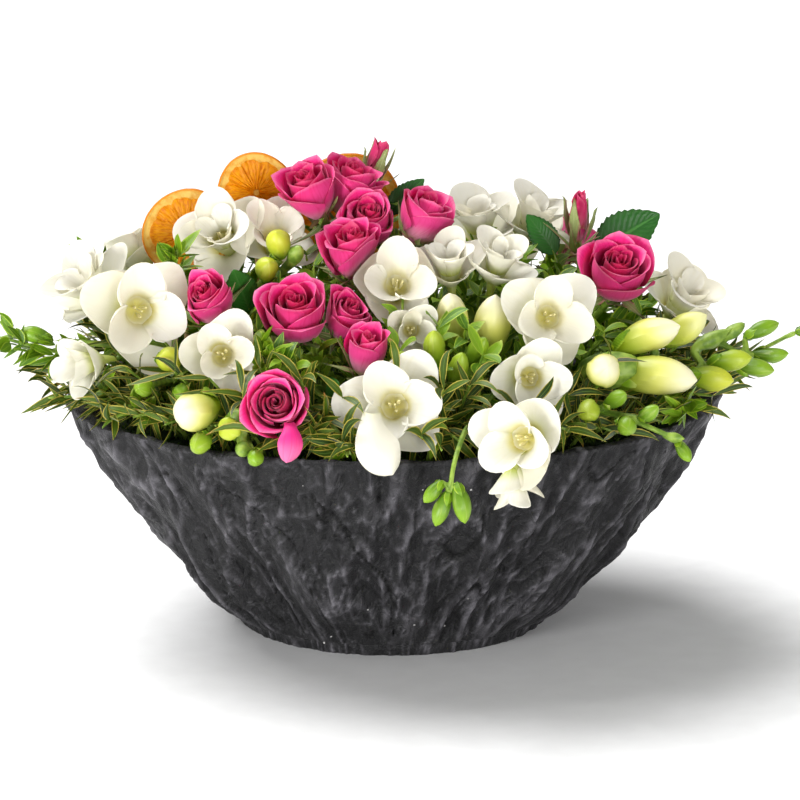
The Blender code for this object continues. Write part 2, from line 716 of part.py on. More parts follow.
def bowl_shape():
    """Closed shell of the bowl: foot lip, rough outside, rim, plain inside and floor."""
    rings = [oval_ring(FOOT_HALF_WIDTH + FOOT_LIP, 0.0, BOWL_SIDES)]
    rings.append(oval_ring(FOOT_HALF_WIDTH + FOOT_LIP + 2.0, FOOT_LIP_HEIGHT - 2.0, BOWL_SIDES))
    for row in range(1, BOWL_ROWS + 1):
        share = row / BOWL_ROWS
        height = FOOT_LIP_HEIGHT + (BOWL_HEIGHT - 2.0 - FOOT_LIP_HEIGHT) * share
        rings.append(oval_ring(bowl_half_width(height), height, BOWL_SIDES, share))
    rings.append(oval_ring(RIM_HALF_WIDTH - 0.5 * WALL, BOWL_HEIGHT, BOWL_SIDES))
    for height in (BOWL_HEIGHT - 2.0, 0.5 * BOWL_HEIGHT, FLOOR_THICKNESS):
        rings.append(oval_ring(bowl_inside(height), height, BOWL_SIDES))
    return ring_solid(rings)


def foam_shape():
    """Foam block that fills the bowl, a little clear of it all round."""
    levels = (FLOOR_THICKNESS + SEAT_GAP, 0.5 * BOWL_HEIGHT, FOAM_TOP - 5.0)
    rings = [oval_ring(bowl_inside(level) - 2 * SEAT_GAP, level, FOAM_SIDES) for level in levels]
    rings.append(oval_ring(bowl_inside(FOAM_TOP) - FOAM_SHOULDER, FOAM_TOP, FOAM_SIDES))
    return ring_solid(rings)


def ring_solid(rings):
    """Closed solid over a list of rings of points."""
    sides = len(rings[0])
    numbers = [list(range(row * sides, (row + 1) * sides)) for row in range(len(rings))]
    return outward([point for ring in rings for point in ring], skin_faces(numbers))


def slice_shape(centre, facing, radius):
    """Dried orange slice: rind edge, sunken pith ring, raised flesh wedges, a slight warp."""
    sides = 2 * SLICE_WEDGES
    half = 0.5 * SLICE_THICKNESS
    vertices = []
    rings = []
    for share, raise_even, raise_odd in (
            (0.0, 1.0, 1.0), (0.84, 1.0, 0.7), (0.89, 0.62, 0.62), (1.0, 0.9, 0.9)):
        rings.append((share, raise_even, raise_odd))
    layout = [(1, *ring) for ring in rings] + [(-1, *ring) for ring in reversed(rings)]
    numbers = []
    for side_sign, share, even, odd in layout:
        if share == 0.0:
            numbers.append([len(vertices)] * sides)
            vertices.append((0.0, 0.0, side_sign * half * 0.7))
            continue
        numbers.append(list(range(len(vertices), len(vertices) + sides)))
        for side in range(sides):
            angle = 2 * math.pi * side / sides
            reach = radius * share * (1.0 + 0.02 * math.sin(3 * angle + radius))
            warp = 1.6 * math.sin(2 * angle) * share ** 2
            lift = even if side % 2 else odd
            vertices.append((reach * math.cos(angle), reach * math.sin(angle),
                             side_sign * half * lift + warp))
    return placed(outward(vertices, skin_faces(numbers)), centre, facing)


def pick_points(centre, facing, radius):
    """Ends of the wooden pick close behind a slice, from its middle down into the foam."""
    frame = axes(facing)
    behind = 0.5 * SLICE_THICKNESS + PICK_RADIUS + SEAT_GAP
    top = np.asarray(centre, float) - frame[:, 2] * behind + frame[:, 1] * 0.3 * radius
    down = -frame[:, 1]
    reach = (FOAM_TOP - STEM_DEPTH - top[2]) / down[2]
    return curve((top, top + down * reach), 1)


def bloom_mover(base, facing, turn, planes):
    """Function that takes points about +Z to a bloom's place and bends them off its planes."""
    frame = axes(facing, math.radians(turn))
    return lambda points: squeezed(points @ frame.T + base, planes)


def seat_of(base, facing, ring, move, planes):
    """Place on a bloom's axis below every point of its moved lowest ring."""
    seat = squeezed(base, planes)
    return seat + facing * min(0.0, ((move(ring) - seat) @ facing).min())


def rose_parts(centre, facing, radius, height, layers, turn, planes):
    """Rose head: a small closed core with its petals in layers, its base point and its axis."""
    facing = unit(facing)
    base = np.asarray(centre, float) - 0.5 * height * facing
    move = bloom_mover(base, facing, turn, planes)
    core = ((0.20, 0.0), (0.42, 0.10), (0.47, 0.17), (0.50, 0.42), (0.46, 0.49), (0.26, 0.82),
            (0.0, 0.72))
    skin, stretches = turned_skin([(r * radius, h * height) for r, h in core], 6, move)
    rows = (
        # stretch and sides of the core, start, lean angles, length, half-width, twist
        (3, (0, 3), (0.47, 0.45), (24, -14), 0.50, 0.82, 0.8),
        (1, (0, 2, 4), (0.44, 0.14), (40, -8), 0.80, 0.92, 0.9),
        (1, (1, 3, 5), (0.44, 0.12), (58, 14), 0.80, 0.92, 0.9),
    )
    for stretch, sides, start, lean, length, half_width, twist in rows[:layers]:
        for side in sides:
            grid = petal(60.0 * side + 30.0, (start[0] * radius, start[1] * height), lean,
                         length * height, half_width * radius, 70, twist, 2, 3, 0.16)
            skin.draw_petal(stretches[stretch][side], move(grid))
    return skin.shape(), seat_of(base, facing, ring_points(0.22 * radius), move, planes), facing


def freesia_parts(centre, facing, radius, opening, turn, planes):
    """Freesia bloom: a slim tube with a hollow mouth, and two layers of three tepals."""
    facing = unit(facing)
    length = 0.95 * radius
    base = np.asarray(centre, float) - 1.15 * radius * facing
    move = bloom_mover(base, facing, turn, planes)
    profile = ((TUBE_FOOT, 0.0), (0.15 * radius, 0.50 * length), (0.19 * radius, 0.60 * length),
               (0.27 * radius, 0.91 * length), (0.30 * radius, length), (0.0, 0.75 * length))
    skin, stretches = turned_skin(profile, 6, move)
    last = 22 + 62 * opening
    layers = (
        # stretch and sides of the tube, start, lean angles, length, half-width
        (1, (0, 2, 4), (0.17, 0.55), (44, last + 6), 1.12, 0.60),
        (3, (1, 3, 5), (0.28, 0.95), (16, last - 8), 0.98, 0.56),
    )
    for stretch, sides, start, lean, share, width in layers:
        for side in sides:
            grid = petal(60.0 * side + 30.0, (start[0] * radius, start[1] * length), lean,
                         share * radius, width * radius, 56, 0.4, 2, 3, 0.20)
            skin.draw_petal(stretches[stretch][side], move(grid))
    return skin.shape(), seat_of(base, facing, ring_points(TUBE_FOOT + 0.4), move, planes), facing


def rim_plane(centre):
    """Plane that keeps a bloom off the bowl and the foam below it."""
    centre = np.asarray(centre, float)
    size = math.hypot(centre[0] / RIM_HALF_WIDTH, centre[1] / RIM_HALF_DEPTH)
    rim = np.array((centre[0] / size, centre[1] / size, BOWL_HEIGHT))
    out = unit((rim[0] / RIM_HALF_WIDTH ** 2, rim[1] / RIM_HALF_DEPTH ** 2, 0.0))
    away = (centre - rim) @ out
    if away < -35.0:
        return np.array((0.0, 0.0, FOAM_TOP + RIM_CLEARANCE)), np.array((0.0, 0.0, 1.0))
    normal = unit(out * max(away, 0.0) + np.array((0, 0, max(centre[2] - rim[2], 1.0))))
    return rim + normal * RIM_CLEARANCE, normal


def neighbour_planes(node, centre, radius, spheres):
    """Planes between a bloom and each near bloom of another node, slice, or the bowl."""
    centre = np.asarray(centre, float)
    planes = [rim_plane(centre)]
    for other, other_centre, other_radius in spheres:
        apart = centre - other_centre
        distance = np.linalg.norm(apart)
        if other == node or distance > radius + other_radius + 6.0:
            continue
        normal = apart / distance
        share = 0.5 * (distance ** 2 + other_radius ** 2 - radius ** 2) / distance
        planes.append((other_centre + normal * share, normal))
    for other_centre, facing, other_radius in SLICES.values():
        apart = centre - np.asarray(other_centre, float)
        if np.linalg.norm(apart) > radius + other_radius + 4.0:
            continue
        facing = unit(facing)
        side = 1.0 if apart @ facing > 0 else -1.0
        offset = 0.5 * SLICE_THICKNESS + (1.2 if side > 0 else 2 * PICK_RADIUS + 2.0)
        planes.append((other_centre + side * facing * offset, side * facing))
    return planes


def bloom_spheres():
    """Node, centre and radius of every bloom."""
    spheres = []
    for node, (centre, _, radius, _, _, _) in ROSES.items():
        spheres.append((node, np.asarray(centre, float), radius))
    for node, blooms in FREESIAS.items():
        for centre, _, radius, _, _ in blooms:
            spheres.append((node, np.asarray(centre, float), radius))
    return spheres


def build_blooms(crowd):
    """Add every rose and freesia to the crowd; return each node's seats as base and axis."""
    spheres = bloom_spheres()
    seats = {}
    for node, (centre, facing, radius, height, layers, turn) in ROSES.items():
        planes = neighbour_planes(node, centre, radius, spheres)
        shape, base, axis = rose_parts(centre, facing, radius, height, layers, turn, planes)
        crowd.add(node, shape)
        seats[node] = [(base, axis, 0.20 * radius, "rose")]
    for node, blooms in FREESIAS.items():
        seats[node] = []
        for centre, facing, radius, opening, turn in blooms:
            planes = neighbour_planes(node, centre, radius, spheres)
            shape, base, axis = freesia_parts(centre, facing, radius, opening, turn, planes)
            crowd.add(node, shape)
            seats[node].append((base, axis, TUBE_FOOT, "freesia"))
    return seats


def main_stem(fork, radius):
    """Points of the straight main stem, from deep in the foam up to its fork."""
    fork = np.asarray(fork, float)
    down = unit(fork - STEM_FOCUS)
    foot = fork - down * (fork[2] - (FOAM_TOP - STEM_DEPTH)) / down[2]
    points = curve((foot, fork), 1)
    return points, tube(points, (radius, 0.85 * radius))


def stem_hole(fork, radius):
    """Plain hole in the foam for a main stem, a little wider and deeper than the stem."""
    points, _ = main_stem(fork, radius)
    foot, top = points
    foot = foot + unit(foot - top)
    return tube((foot, top), (radius + HOLE_GAP, radius + HOLE_GAP))


def grow(crowd, node, starts, end, axis, radius, draw, steps=2):
    """A side stem from one of the start points to an end that it reaches along the axis.

    Tries a few bends until one crosses nothing; returns its points, or None.
    """
    end = np.asarray(end, float)
    for attempt in range(TRIES):
        start = starts[attempt % len(starts)] if attempt else starts[-1]
        reach = np.linalg.norm(end - start)
        slack = 0.6 * reach * (attempt / TRIES)
        middle = 0.5 * (start + end) - 0.16 * reach * axis + np.array(
            [draw.uniform(-slack, slack) for _ in range(3)])
        points = curve((start, middle, end), steps)
        shape = tube(points, [radius + SEAT_GAP] * (steps + 1))
        if crowd.clear(shape, node):
            return points
    return None


def add_flower_stalk(crowd, node, points, base, axis, radius, kind, draw):
    """Side stem that ends in the seat of a bloom: a cup with sepals on a rose, a flare on others."""
    seat = base - axis * SEAT_GAP
    if kind == "rose":
        knots = np.vstack((points[:-1], seat - axis * 6.0, seat - axis * 3.0, seat))
        radii = [BRANCH_RADIUS] * (len(points) - 1) + [0.5 * radius, 1.2 * radius, 1.1 * radius]
        sides = SEPALS
    else:
        knots = np.vstack((points[:-1], seat - axis * 5.0, seat))
        radii = [BRANCH_RADIUS] * (len(points) - 1) + [1.3, 2.0]
        sides = 4
    skin, stretches = rod(knots, radii, sides)
    crowd.guard(node, skin.shape())
    if kind == "rose":
        for number in stretches[-2]:
            out = unit(skin.middle(number) - (seat - axis * 4.5))
            for lift in (1.0, 0.6, 0.2, -0.2, -0.6, -1.0):
                length = 18.0 * draw.uniform(0.8, 1.1)
                if sprout(crowd, node, skin, number, out + axis * lift, axis, length, 4.6, -0.1):
                    break
    crowd.keep(node, skin.shape())


def add_leaf(crowd, node, root, direction, length, width, draw):
    """Add a leaf where it is free, turning and tilting it a little until it is."""
    direction = unit(direction)
    root = np.asarray(root, float) - direction * 2.5
    for attempt in range(14):
        spread = 0.10 * attempt
        tilt = direction + np.array([draw.uniform(-spread, spread) for _ in range(3)])
        blade = leaf(root, tilt, length * (1 - 0.03 * attempt), width, draw.uniform(-0.3, 0.3))
        if crowd.clear(blade, node):
            crowd.add(node, blade)
            return True
    return False


def add_branch(crowd, node, points, radius, tip_radius=0.9):
    """Add a tapered stem along the points."""
    radii = np.linspace(radius, tip_radius, len(points))
    crowd.add(node, tube(points, radii))


def add_bud(crowd, node, starts, base, direction, length, radius, draw):
    """Add a bud on its own short stem where both are free, nudging it a little until they are."""
    for attempt in range(24):
        nudge = np.array([draw.uniform(-1, 1) for _ in range(3)]) * 0.30 * attempt
        axis = unit(unit(direction) + nudge * 0.05)
        root = np.asarray(base, float) + nudge
        sides = 6 if radius > 7 else 5
        knots = [root, root + axis * 0.42 * length]
        radii = [0.5 * radius, radius]
        if radius > 6:
            knots.append(root + axis * 0.82 * length)
            radii.append(0.70 * radius)
        wide = [r + SEAT_GAP for r in radii]
        tip = root + axis * length
        if not crowd.clear(rod(knots, wide, sides, tip)[0].shape(), node):
            continue
        for start in sorted(starts, key=lambda point: np.linalg.norm(point - root))[:5]:
            if crowd.clear(tube((start, root), (1.2 + SEAT_GAP, 1.2 + SEAT_GAP)), node):
                skin, _ = rod([start] + knots, [1.1] + radii, sides, tip)
                crowd.add(node, skin.shape())
                return True
    return False


def build_green(crowd, node, plan, seats, draw):
    """One flower stem: the stem in the foam, its side stems, calyxes, buds and leaves."""
    trunk, shape = main_stem(plan["fork"], MAIN_STEM_RADIUS)
    crowd.add(node, shape)
    starts = [trunk[0] + (trunk[1] - trunk[0]) * share for share in (0.70, 0.78, 0.86, 0.95)]
    if "reach" in plan:
        points = find_path(crowd, node, starts[-1], plan["reach"], MAIN_STEM_RADIUS * 0.8, draw)
        if points is not None:
            add_branch(crowd, node, points, MAIN_STEM_RADIUS * 0.8, 1.0)
            starts += list(points[1:])
    for bloom in plan["carries"]:
        for base, axis, radius, kind in seats[bloom]:
            end = base - axis * (SEAT_GAP + 4.0)
            points = grow(crowd, node, starts[:5], end, axis, BRANCH_RADIUS, draw)
            if points is None:
                continue
            starts.append(points[1])
            add_flower_stalk(crowd, node, points, base, axis, radius, kind, draw)
    for base, direction, length, radius in plan.get("buds", ()):
        add_bud(crowd, node, starts, base, direction, length, radius, draw)
    for root, direction, length, width in plan.get("leaves", ()):
        near = sorted(starts, key=lambda point: np.linalg.norm(point - np.asarray(root)))[:4]
        points = grow(crowd, node, near, root, unit(direction), 1.0, draw)
        if points is not None and add_leaf(crowd, node, root, direction, length, width, draw):
            add_branch(crowd, node, points, 1.1, 1.1)


def build_sprig(crowd, node, plan, draw):
    """Leafy sprigs on one stem: opposite leaves along each side stem, free of all the blooms."""
    trunk, shape = main_stem(plan["fork"], SPRIG_STEM_RADIUS)
    crowd.add(node, shape)
    start = trunk[0] + (trunk[1] - trunk[0]) * 0.95
    for way, length, width, pairs in plan["branches"]:
        points = find_path(crowd, node, start, way, SPRIG_RADIUS, draw)
        if points is not None:
            add_leafy_stem(crowd, node, points, length, width, pairs, draw)


def find_path(crowd, node, start, way, radius, draw):
    """Points from a start along three way points, shifted a little until they cross nothing."""
    for attempt in range(TRIES):
        slack = 14.0 * attempt / TRIES
        moved = [np.asarray(point, float) + [draw.uniform(-slack, slack) for _ in range(3)]
                 for point in way]
        rise = curve((start, moved[0], moved[1]), 3)
        end = curve(moved, 4)[3:]
        points = np.vstack((rise, end))
        if crowd.clear(tube(points, [radius + SEAT_GAP] * len(points)), node):
            return points
    return None


def add_leafy_stem(crowd, node, points, length, width, pairs, draw):
    """Stem with crossed pairs of leaves on its outer part, each leaf where it is free."""
    steps = np.linalg.norm(np.diff(points, axis=0), axis=1)
    run = np.concatenate(([0.0], np.cumsum(steps)))
    places = [0.0, 0.22 * run[-1]]
    places += list(np.linspace(0.42, 0.92, pairs + 1) * run[-1])
    knots = np.stack([np.interp(places, run, points[:, k]) for k in range(3)], axis=1)
    radii = np.linspace(1.5, 0.9, len(knots))
    skin, stretches = rod(knots, radii, 4, points[-1])
    crowd.guard(node, skin.shape())
    heading = unit(points[-1] - points[-2])
    for number in range(pairs):
        stretch = stretches[2 + number]
        for side in (number % 2, number % 2 + 2):
            face = stretch[side]
            out = unit(skin.middle(face) - 0.5 * (knots[2 + number] + knots[3 + number]))
            for forward, share in ((0.8, 1.0), (1.4, 1.0), (0.3, 0.9), (2.2, 0.9), (-0.2, 0.8),
                                   (0.8, 0.6), (1.6, 0.6)):
                size = length * share * draw.uniform(0.85, 1.1)
                aim = out + heading * forward
                if sprout(crowd, node, skin, face, aim, heading, size, width, 0.08):
                    break
    crowd.keep(node, skin.shape())


def clear_scene():
    for item in list(bpy.data.objects):
        bpy.data.objects.remove(item)


def main():
    clear_scene()
    stone = make_material("bowl_dark", (0.035, 0.034, 0.037), 0.72)
    sponge = make_material("foam_green", (0.05, 0.10, 0.04), 0.95)
    rose = make_material("rose_petal", (0.62, 0.02, 0.18), 0.55)
    white = make_material("freesia_petal", (0.86, 0.84, 0.68), 0.5)
    green = make_material("stem_green", (0.16, 0.30, 0.04), 0.5)
    leaf_green = make_material("leaf_green", (0.07, 0.17, 0.03), 0.45)
    orange = make_material("dried_orange", (0.85, 0.33, 0.03), 0.5)
    wood = make_material("pick_wood", (0.55, 0.38, 0.20), 0.7)

    crowd = Crowd()
    crowd.add("bowl", bowl_shape())
    holes = []
    picks = []
    for name, (centre, facing, radius) in SLICES.items():
        crowd.add(name, slice_shape(centre, facing, radius))
        pick = pick_points(centre, facing, radius)
        picks.append(name.replace("orange_slice", "slice_pick"))
        crowd.add(picks[-1], tube(pick, (PICK_RADIUS, PICK_RADIUS)))
        holes.append(tube(pick, (PICK_RADIUS + HOLE_GAP, PICK_RADIUS + HOLE_GAP)))
    seats = build_blooms(crowd)
    draw = random.Random(7)
    for node, plan in GREENS.items():
        build_green(crowd, node, plan, seats, draw)
        holes.append(stem_hole(plan["fork"], MAIN_STEM_RADIUS))
    foam = foam_shape()
    crowd.guard("foam", foam)
    for node, plan in SPRIGS.items():
        build_sprig(crowd, node, plan, draw)
        holes.append(stem_hole(plan["fork"], SPRIG_STEM_RADIUS))

    block = mesh_object("foam", foam)
    bpy.context.scene.collection.objects.link(block)
    boolean(block, holes, "DIFFERENCE")
    finish(block, sponge)
    for node, shapes in crowd.shapes.items():
        if node == "bowl":
            material = stone
        elif node in ROSES:
            material = rose
        elif node in FREESIAS:
            material = white
        elif node in SLICES:
            material = orange
        elif node in picks:
            material = wood
        elif node in GREENS:
            material = green
        else:
            material = leaf_green
        make_node(node, shapes, material)


main()
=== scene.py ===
"""Looks of the flower arrangement: spray roses, freesias and dried orange slices in a dark bowl.

Each piece is finer than the solid it replaces and stays in its place. Lengths are in
millimetres until a mesh is made, +Z is up, and the arrangement is looked at along +Y.
"""

import math
import random

import bmesh
import bpy
import numpy as np
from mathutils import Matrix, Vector, noise
from mathutils.bvhtree import BVHTree


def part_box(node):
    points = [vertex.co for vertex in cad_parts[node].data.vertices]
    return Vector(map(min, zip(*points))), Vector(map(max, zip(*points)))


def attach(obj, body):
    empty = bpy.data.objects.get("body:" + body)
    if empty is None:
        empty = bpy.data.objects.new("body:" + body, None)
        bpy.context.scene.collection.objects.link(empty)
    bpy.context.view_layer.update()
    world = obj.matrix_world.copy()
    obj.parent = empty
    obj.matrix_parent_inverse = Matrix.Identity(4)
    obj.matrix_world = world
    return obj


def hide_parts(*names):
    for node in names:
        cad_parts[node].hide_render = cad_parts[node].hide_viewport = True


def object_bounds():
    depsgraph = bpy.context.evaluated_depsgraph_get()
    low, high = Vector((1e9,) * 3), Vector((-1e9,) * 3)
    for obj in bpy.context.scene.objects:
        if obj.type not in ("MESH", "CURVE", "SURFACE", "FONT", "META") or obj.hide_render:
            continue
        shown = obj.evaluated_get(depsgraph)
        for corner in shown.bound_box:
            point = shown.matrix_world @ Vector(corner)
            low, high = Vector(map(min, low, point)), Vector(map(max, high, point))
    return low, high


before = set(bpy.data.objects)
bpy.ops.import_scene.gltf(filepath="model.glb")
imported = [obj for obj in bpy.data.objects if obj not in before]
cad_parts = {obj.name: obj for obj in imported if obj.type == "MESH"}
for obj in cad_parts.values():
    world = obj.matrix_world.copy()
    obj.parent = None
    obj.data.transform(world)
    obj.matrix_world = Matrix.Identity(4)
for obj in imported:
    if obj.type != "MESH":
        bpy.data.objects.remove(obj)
cad_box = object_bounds()

MM = 0.001

# Bowl and foam, as the solids have them
RIM_HALF_WIDTH = 170.0
RIM_HALF_DEPTH = 150.0
FOOT_HALF_WIDTH = 80.0
BOWL_HEIGHT = 123.0
BOWL_CURVE = 0.8
WALL = 8.0
FLOOR_THICKNESS = 9.0
FOOT_LIP = 3.0
FOOT_LIP_HEIGHT = 8.0
BOWL_FOLDS = (2.8, 2.3, 1.5)
BOWL_LUMP = 6.0
BOWL_SIDES = 540
BOWL_RINGS = 90
FOAM_TOP = 110.0

# Blooms, in mm: a plane between neighbours keeps their petals apart
PETAL_THICKNESS = 0.5
LEAF_THICKNESS = 0.45
PLANE_MARGIN = 0.7
PLANE_SOFTNESS = (2.4, 0.8, 0.3)
RIM_CLEARANCE = 2.0
TUBE_FOOT = 1.7
BLOOM_SIDES = 24

# Moss, shoots and leaves, and the outline that leaves near the rim stay inside
MOSS_RINGS = 26
MOSS_SIDES = 120
MOSS_SHOOTS = 2200
SHOOT_SPACING = 20.0
RIM_SHOOTS = 58
SHOOT_STEPS = 13
EXTRA_LEAVES = 4
OUTLINE_TOP = 125.5
OUTLINE_HALF_WIDTH = 172.0
OUTLINE_HALF_DEPTH = 152.0

# Places of the skins in a green piece's list: the small one is a sepal on rose stems
STEM, BUD, SMALL, TOOTHED, NARROW = range(5)

# Seeds of the random draws
CLAY_SEED = 1
MOSS_SEED = 11
GROWTH_SEED = 5

# Name: centre, facing direction, radius, height, petal layers, turn
ROSES = {
    "rose_peak_left": ((-42, -14, 230), (-0.30, -0.40, 0.87), 16.5, 32, 3, 10),
    "rose_peak_right": ((-22, -2, 231), (0.20, -0.25, 0.95), 16.5, 32, 3, 70),
    "rose_bud_peak": ((-8, 17, 242), (0.30, 0.05, 0.95), 8.0, 27, 1, 0),
    "rose_crown": ((-12, -24, 217), (0.05, -0.62, 0.78), 16.5, 28, 3, 40),
    "rose_crown_right": ((16, -24, 219), (0.38, -0.30, 0.87), 15.5, 30, 3, 95),
    "rose_upright": ((-19, -51, 206), (-0.12, -0.38, 0.92), 15.5, 32, 3, 25),
    "rose_left": ((-91, -76, 186), (-0.30, -0.62, 0.72), 14.0, 26, 3, 55),
    "rose_heart": ((-47, -82, 181), (-0.05, -0.58, 0.81), 16.5, 32, 3, 15),
    "rose_middle": ((-22, -76, 178), (0.30, -0.60, 0.74), 13.5, 28, 3, 80),
    "rose_bud_egg": ((-12, -108, 167), (0.08, -0.45, 0.89), 11.5, 28, 2, 30),
    "rose_front": ((-54, -136, 148), (-0.10, -0.92, 0.38), 16.0, 26, 3, 60),
    "rose_right": ((114, -42, 194), (0.10, -0.62, 0.78), 17.0, 32, 3, 5),
    "rose_bud_right": ((98, 2, 216), (0.05, -0.12, 0.99), 8.5, 30, 1, 45),
    "rose_back_left": ((-78, 62, 203), (-0.25, 0.60, 0.76), 16.5, 30, 3, 20),
    "rose_back_right": ((96, 74, 189), (0.40, 0.62, 0.68), 16.0, 28, 3, 35),
}

# Name: one or more blooms, each with centre, facing direction, radius, opening from 0 to 1, turn
FREESIAS = {
    "freesia_left_front": (((-124, -72, 180), (0.30, -0.88, 0.10), 27, 0.90, 10),),
    "freesia_left_back": (((-156, -24, 184), (-0.50, -0.45, 0.72), 25, 0.80, 40),),
    "freesia_left_low": (((-153, -76, 154), (-0.72, -0.60, -0.05), 18, 0.35, 0),),
    "freesia_cup": (((-82, -102, 165), (0.05, -0.93, 0.30), 21, 0.55, 30),),
    "freesia_upper_left": (
        ((-88, -16, 209), (-0.25, -0.70, 0.66), 24, 0.80, 15),
        ((-60, -12, 208), (0.10, -0.62, 0.76), 22, 0.75, 45),
    ),
    "freesia_far_left": (((-138, 34, 190), (-0.45, 0.10, 0.85), 21, 0.70, 20),),
    "freesia_centre": (((3, -62, 193), (0.05, -0.80, 0.55), 24, 0.80, 0),),
    "freesia_centre_low": (((10, -88, 174), (0.20, -0.90, 0.25), 15, 0.45, 10),),
    "freesia_front": (((2, -133, 147), (0.02, -0.92, 0.36), 25, 0.80, 30),),
    "freesia_middle_pair": (
        ((29, -46, 199), (-0.10, -0.45, 0.89), 20, 0.55, 0),
        ((54, -42, 199), (0.20, -0.40, 0.89), 20, 0.55, 30),
    ),
    "freesia_upper_pair": (
        ((46, 30, 208), (-0.15, -0.30, 0.94), 24, 0.80, 20),
        ((76, 32, 209), (0.35, -0.25, 0.90), 23, 0.75, 50),
    ),
    "freesia_right_centre": (((78, -88, 181), (0.15, -0.93, 0.30), 23, 0.85, 0),),
    "freesia_right_low": (((68, -116, 156), (0.25, -0.92, 0.10), 19, 0.75, 30),),
    "freesia_hanging": (
        ((60, -165, 138), (-0.45, -0.87, 0.15), 23, 0.70, 15),
        ((58, -164, 115), (0.02, -0.30, -0.95), 15, 0.30, 40),
    ),
    "freesia_far_right": (((154, 8, 171), (0.45, -0.45, 0.78), 23, 0.80, 0),),
    "freesia_back_left": (((-106, 88, 180), (-0.45, 0.70, 0.55), 27, 0.80, 0),),
    "freesia_back_middle": (((-24, 104, 184), (-0.05, 0.80, 0.60), 28, 0.80, 10),),
    "freesia_back_right": (((52, 104, 180), (0.20, 0.82, 0.55), 27, 0.80, 20),),
}

# Name: root, middle and tip of the loose petal that hangs from the bloom over the rim
HANGING_PETALS = {
    "rose_front": ((-48, -149, 142), (-47, -157.5, 135), (-49, -158.5, 125)),
    "freesia_front": ((-9, -147, 146), (-7, -160, 134), (1, -160, 119.5)),
}

# Name: centre, facing direction, radius of each dried slice
SLICES = {
    "orange_slice_left": ((-107, 8, 205), (-0.10, -0.97, 0.20), 23.5),
    "orange_slice_upper": ((-71, 18, 225), (0.05, -0.98, 0.18), 21.0),
    "orange_slice_large": ((-24, 36, 213), (0.08, -0.98, 0.16), 30.0),
}
SLICE_THICKNESS = 4.4
SLICE_WEDGES = 9
PICK_RADIUS = 1.2

ROSE_STEMS = ("rose_spray_top", "rose_spray_left", "rose_spray_right", "rose_spray_back")
FREESIA_STEMS = (
    "freesia_stem_left", "freesia_stem_cup", "freesia_stem_upper_left", "freesia_stem_centre",
    "freesia_stem_middle", "freesia_spike_right", "freesia_spike_hanging",
    "freesia_spike_low_right", "freesia_stem_back")
SPRIGS = ("greenery_left", "greenery_upper_left", "greenery_front", "greenery_right",
          "greenery_back")


# Camera and light, in metres, degrees and watts
CAMERA_DISTANCE = 1.4
CAMERA_TILT = 13.5
CAMERA_LENS = 119.3
CAMERA_AIM = (0.0044, 0.1173)
PAPER_HALF_SIZE = 6.0
SKY_STRENGTH = 0.30
SUN_STRENGTH = 3.8
SUN_SPREAD = 46
SUN_FROM = (-0.40, 0.30, 0.86)
# Name, place, aim, size and power of each lamp
LAMPS = (
    ("key_light", (-1.2, -1.4, 0.28), (0.0, 0.0, 0.17), 0.6, 23.0),
    ("front_light", (0.6, -2.0, 0.28), (0.0, 0.0, 0.16), 0.9, 22.0),
)


# Vectors, and the planes that keep blooms apart

def unit(vector):
    """The vector at length one."""
    vector = np.asarray(vector, float)
    return vector / np.linalg.norm(vector)


def axes(direction, turn=0.0):
    """Columns across, over and along, where along is the direction and turn spins the others."""
    along = unit(direction)
    helper = np.array((0.0, 0.0, 1.0)) if abs(along[2]) < 0.9 else np.array((0.0, 1.0, 0.0))
    across = unit(np.cross(helper, along))
    over = np.cross(along, across)
    cos, sin = math.cos(turn), math.sin(turn)
    return np.column_stack((cos * across + sin * over, cos * over - sin * across, along))


def squeezed(points, planes):
    """The points bent back from each plane, so that a bloom stays on its own side of it."""
    points = np.asarray(points, float)
    flat = points.reshape(-1, 3).copy()
    for softness in PLANE_SOFTNESS:
        for centre, normal in planes:
            depth = (flat - centre) @ normal
            kept = PLANE_MARGIN + softness * np.logaddexp(0.0, (depth - PLANE_MARGIN) / softness)
            flat += np.outer(kept - depth, normal)
    return flat.reshape(points.shape)


def rim_plane(centre):
    """Plane that keeps a bloom off the bowl and the foam below it."""
    centre = np.asarray(centre, float)
    size = math.hypot(centre[0] / RIM_HALF_WIDTH, centre[1] / RIM_HALF_DEPTH)
    rim = np.array((centre[0] / size, centre[1] / size, BOWL_HEIGHT))
    out = unit((rim[0] / RIM_HALF_WIDTH ** 2, rim[1] / RIM_HALF_DEPTH ** 2, 0.0))
    away = (centre - rim) @ out
    if away < -35.0:
        return np.array((0.0, 0.0, FOAM_TOP + RIM_CLEARANCE)), np.array((0.0, 0.0, 1.0))
    normal = unit(out * max(away, 0.0) + np.array((0, 0, max(centre[2] - rim[2], 1.0))))
    return rim + normal * RIM_CLEARANCE, normal


def neighbour_planes(node, centre, radius, spheres):
    """Planes between a bloom and each near bloom of another node, slice, or the bowl."""
    centre = np.asarray(centre, float)
    planes = [rim_plane(centre)]
    for other, other_centre, other_radius in spheres:
        apart = centre - other_centre
        distance = np.linalg.norm(apart)
        if other == node or distance > radius + other_radius + 6.0:
            continue
        normal = apart / distance
        share = 0.5 * (distance ** 2 + other_radius ** 2 - radius ** 2) / distance
        planes.append((other_centre + normal * share, normal))
    for other_centre, facing, other_radius in SLICES.values():
        apart = centre - np.asarray(other_centre, float)
        if np.linalg.norm(apart) > radius + other_radius + 4.0:
            continue
        facing = unit(facing)
        side = 1.0 if apart @ facing > 0 else -1.0
        offset = 0.5 * SLICE_THICKNESS + (1.2 if side > 0 else 2 * PICK_RADIUS + 2.0)
        planes.append((other_centre + side * facing * offset, side * facing))
    return planes


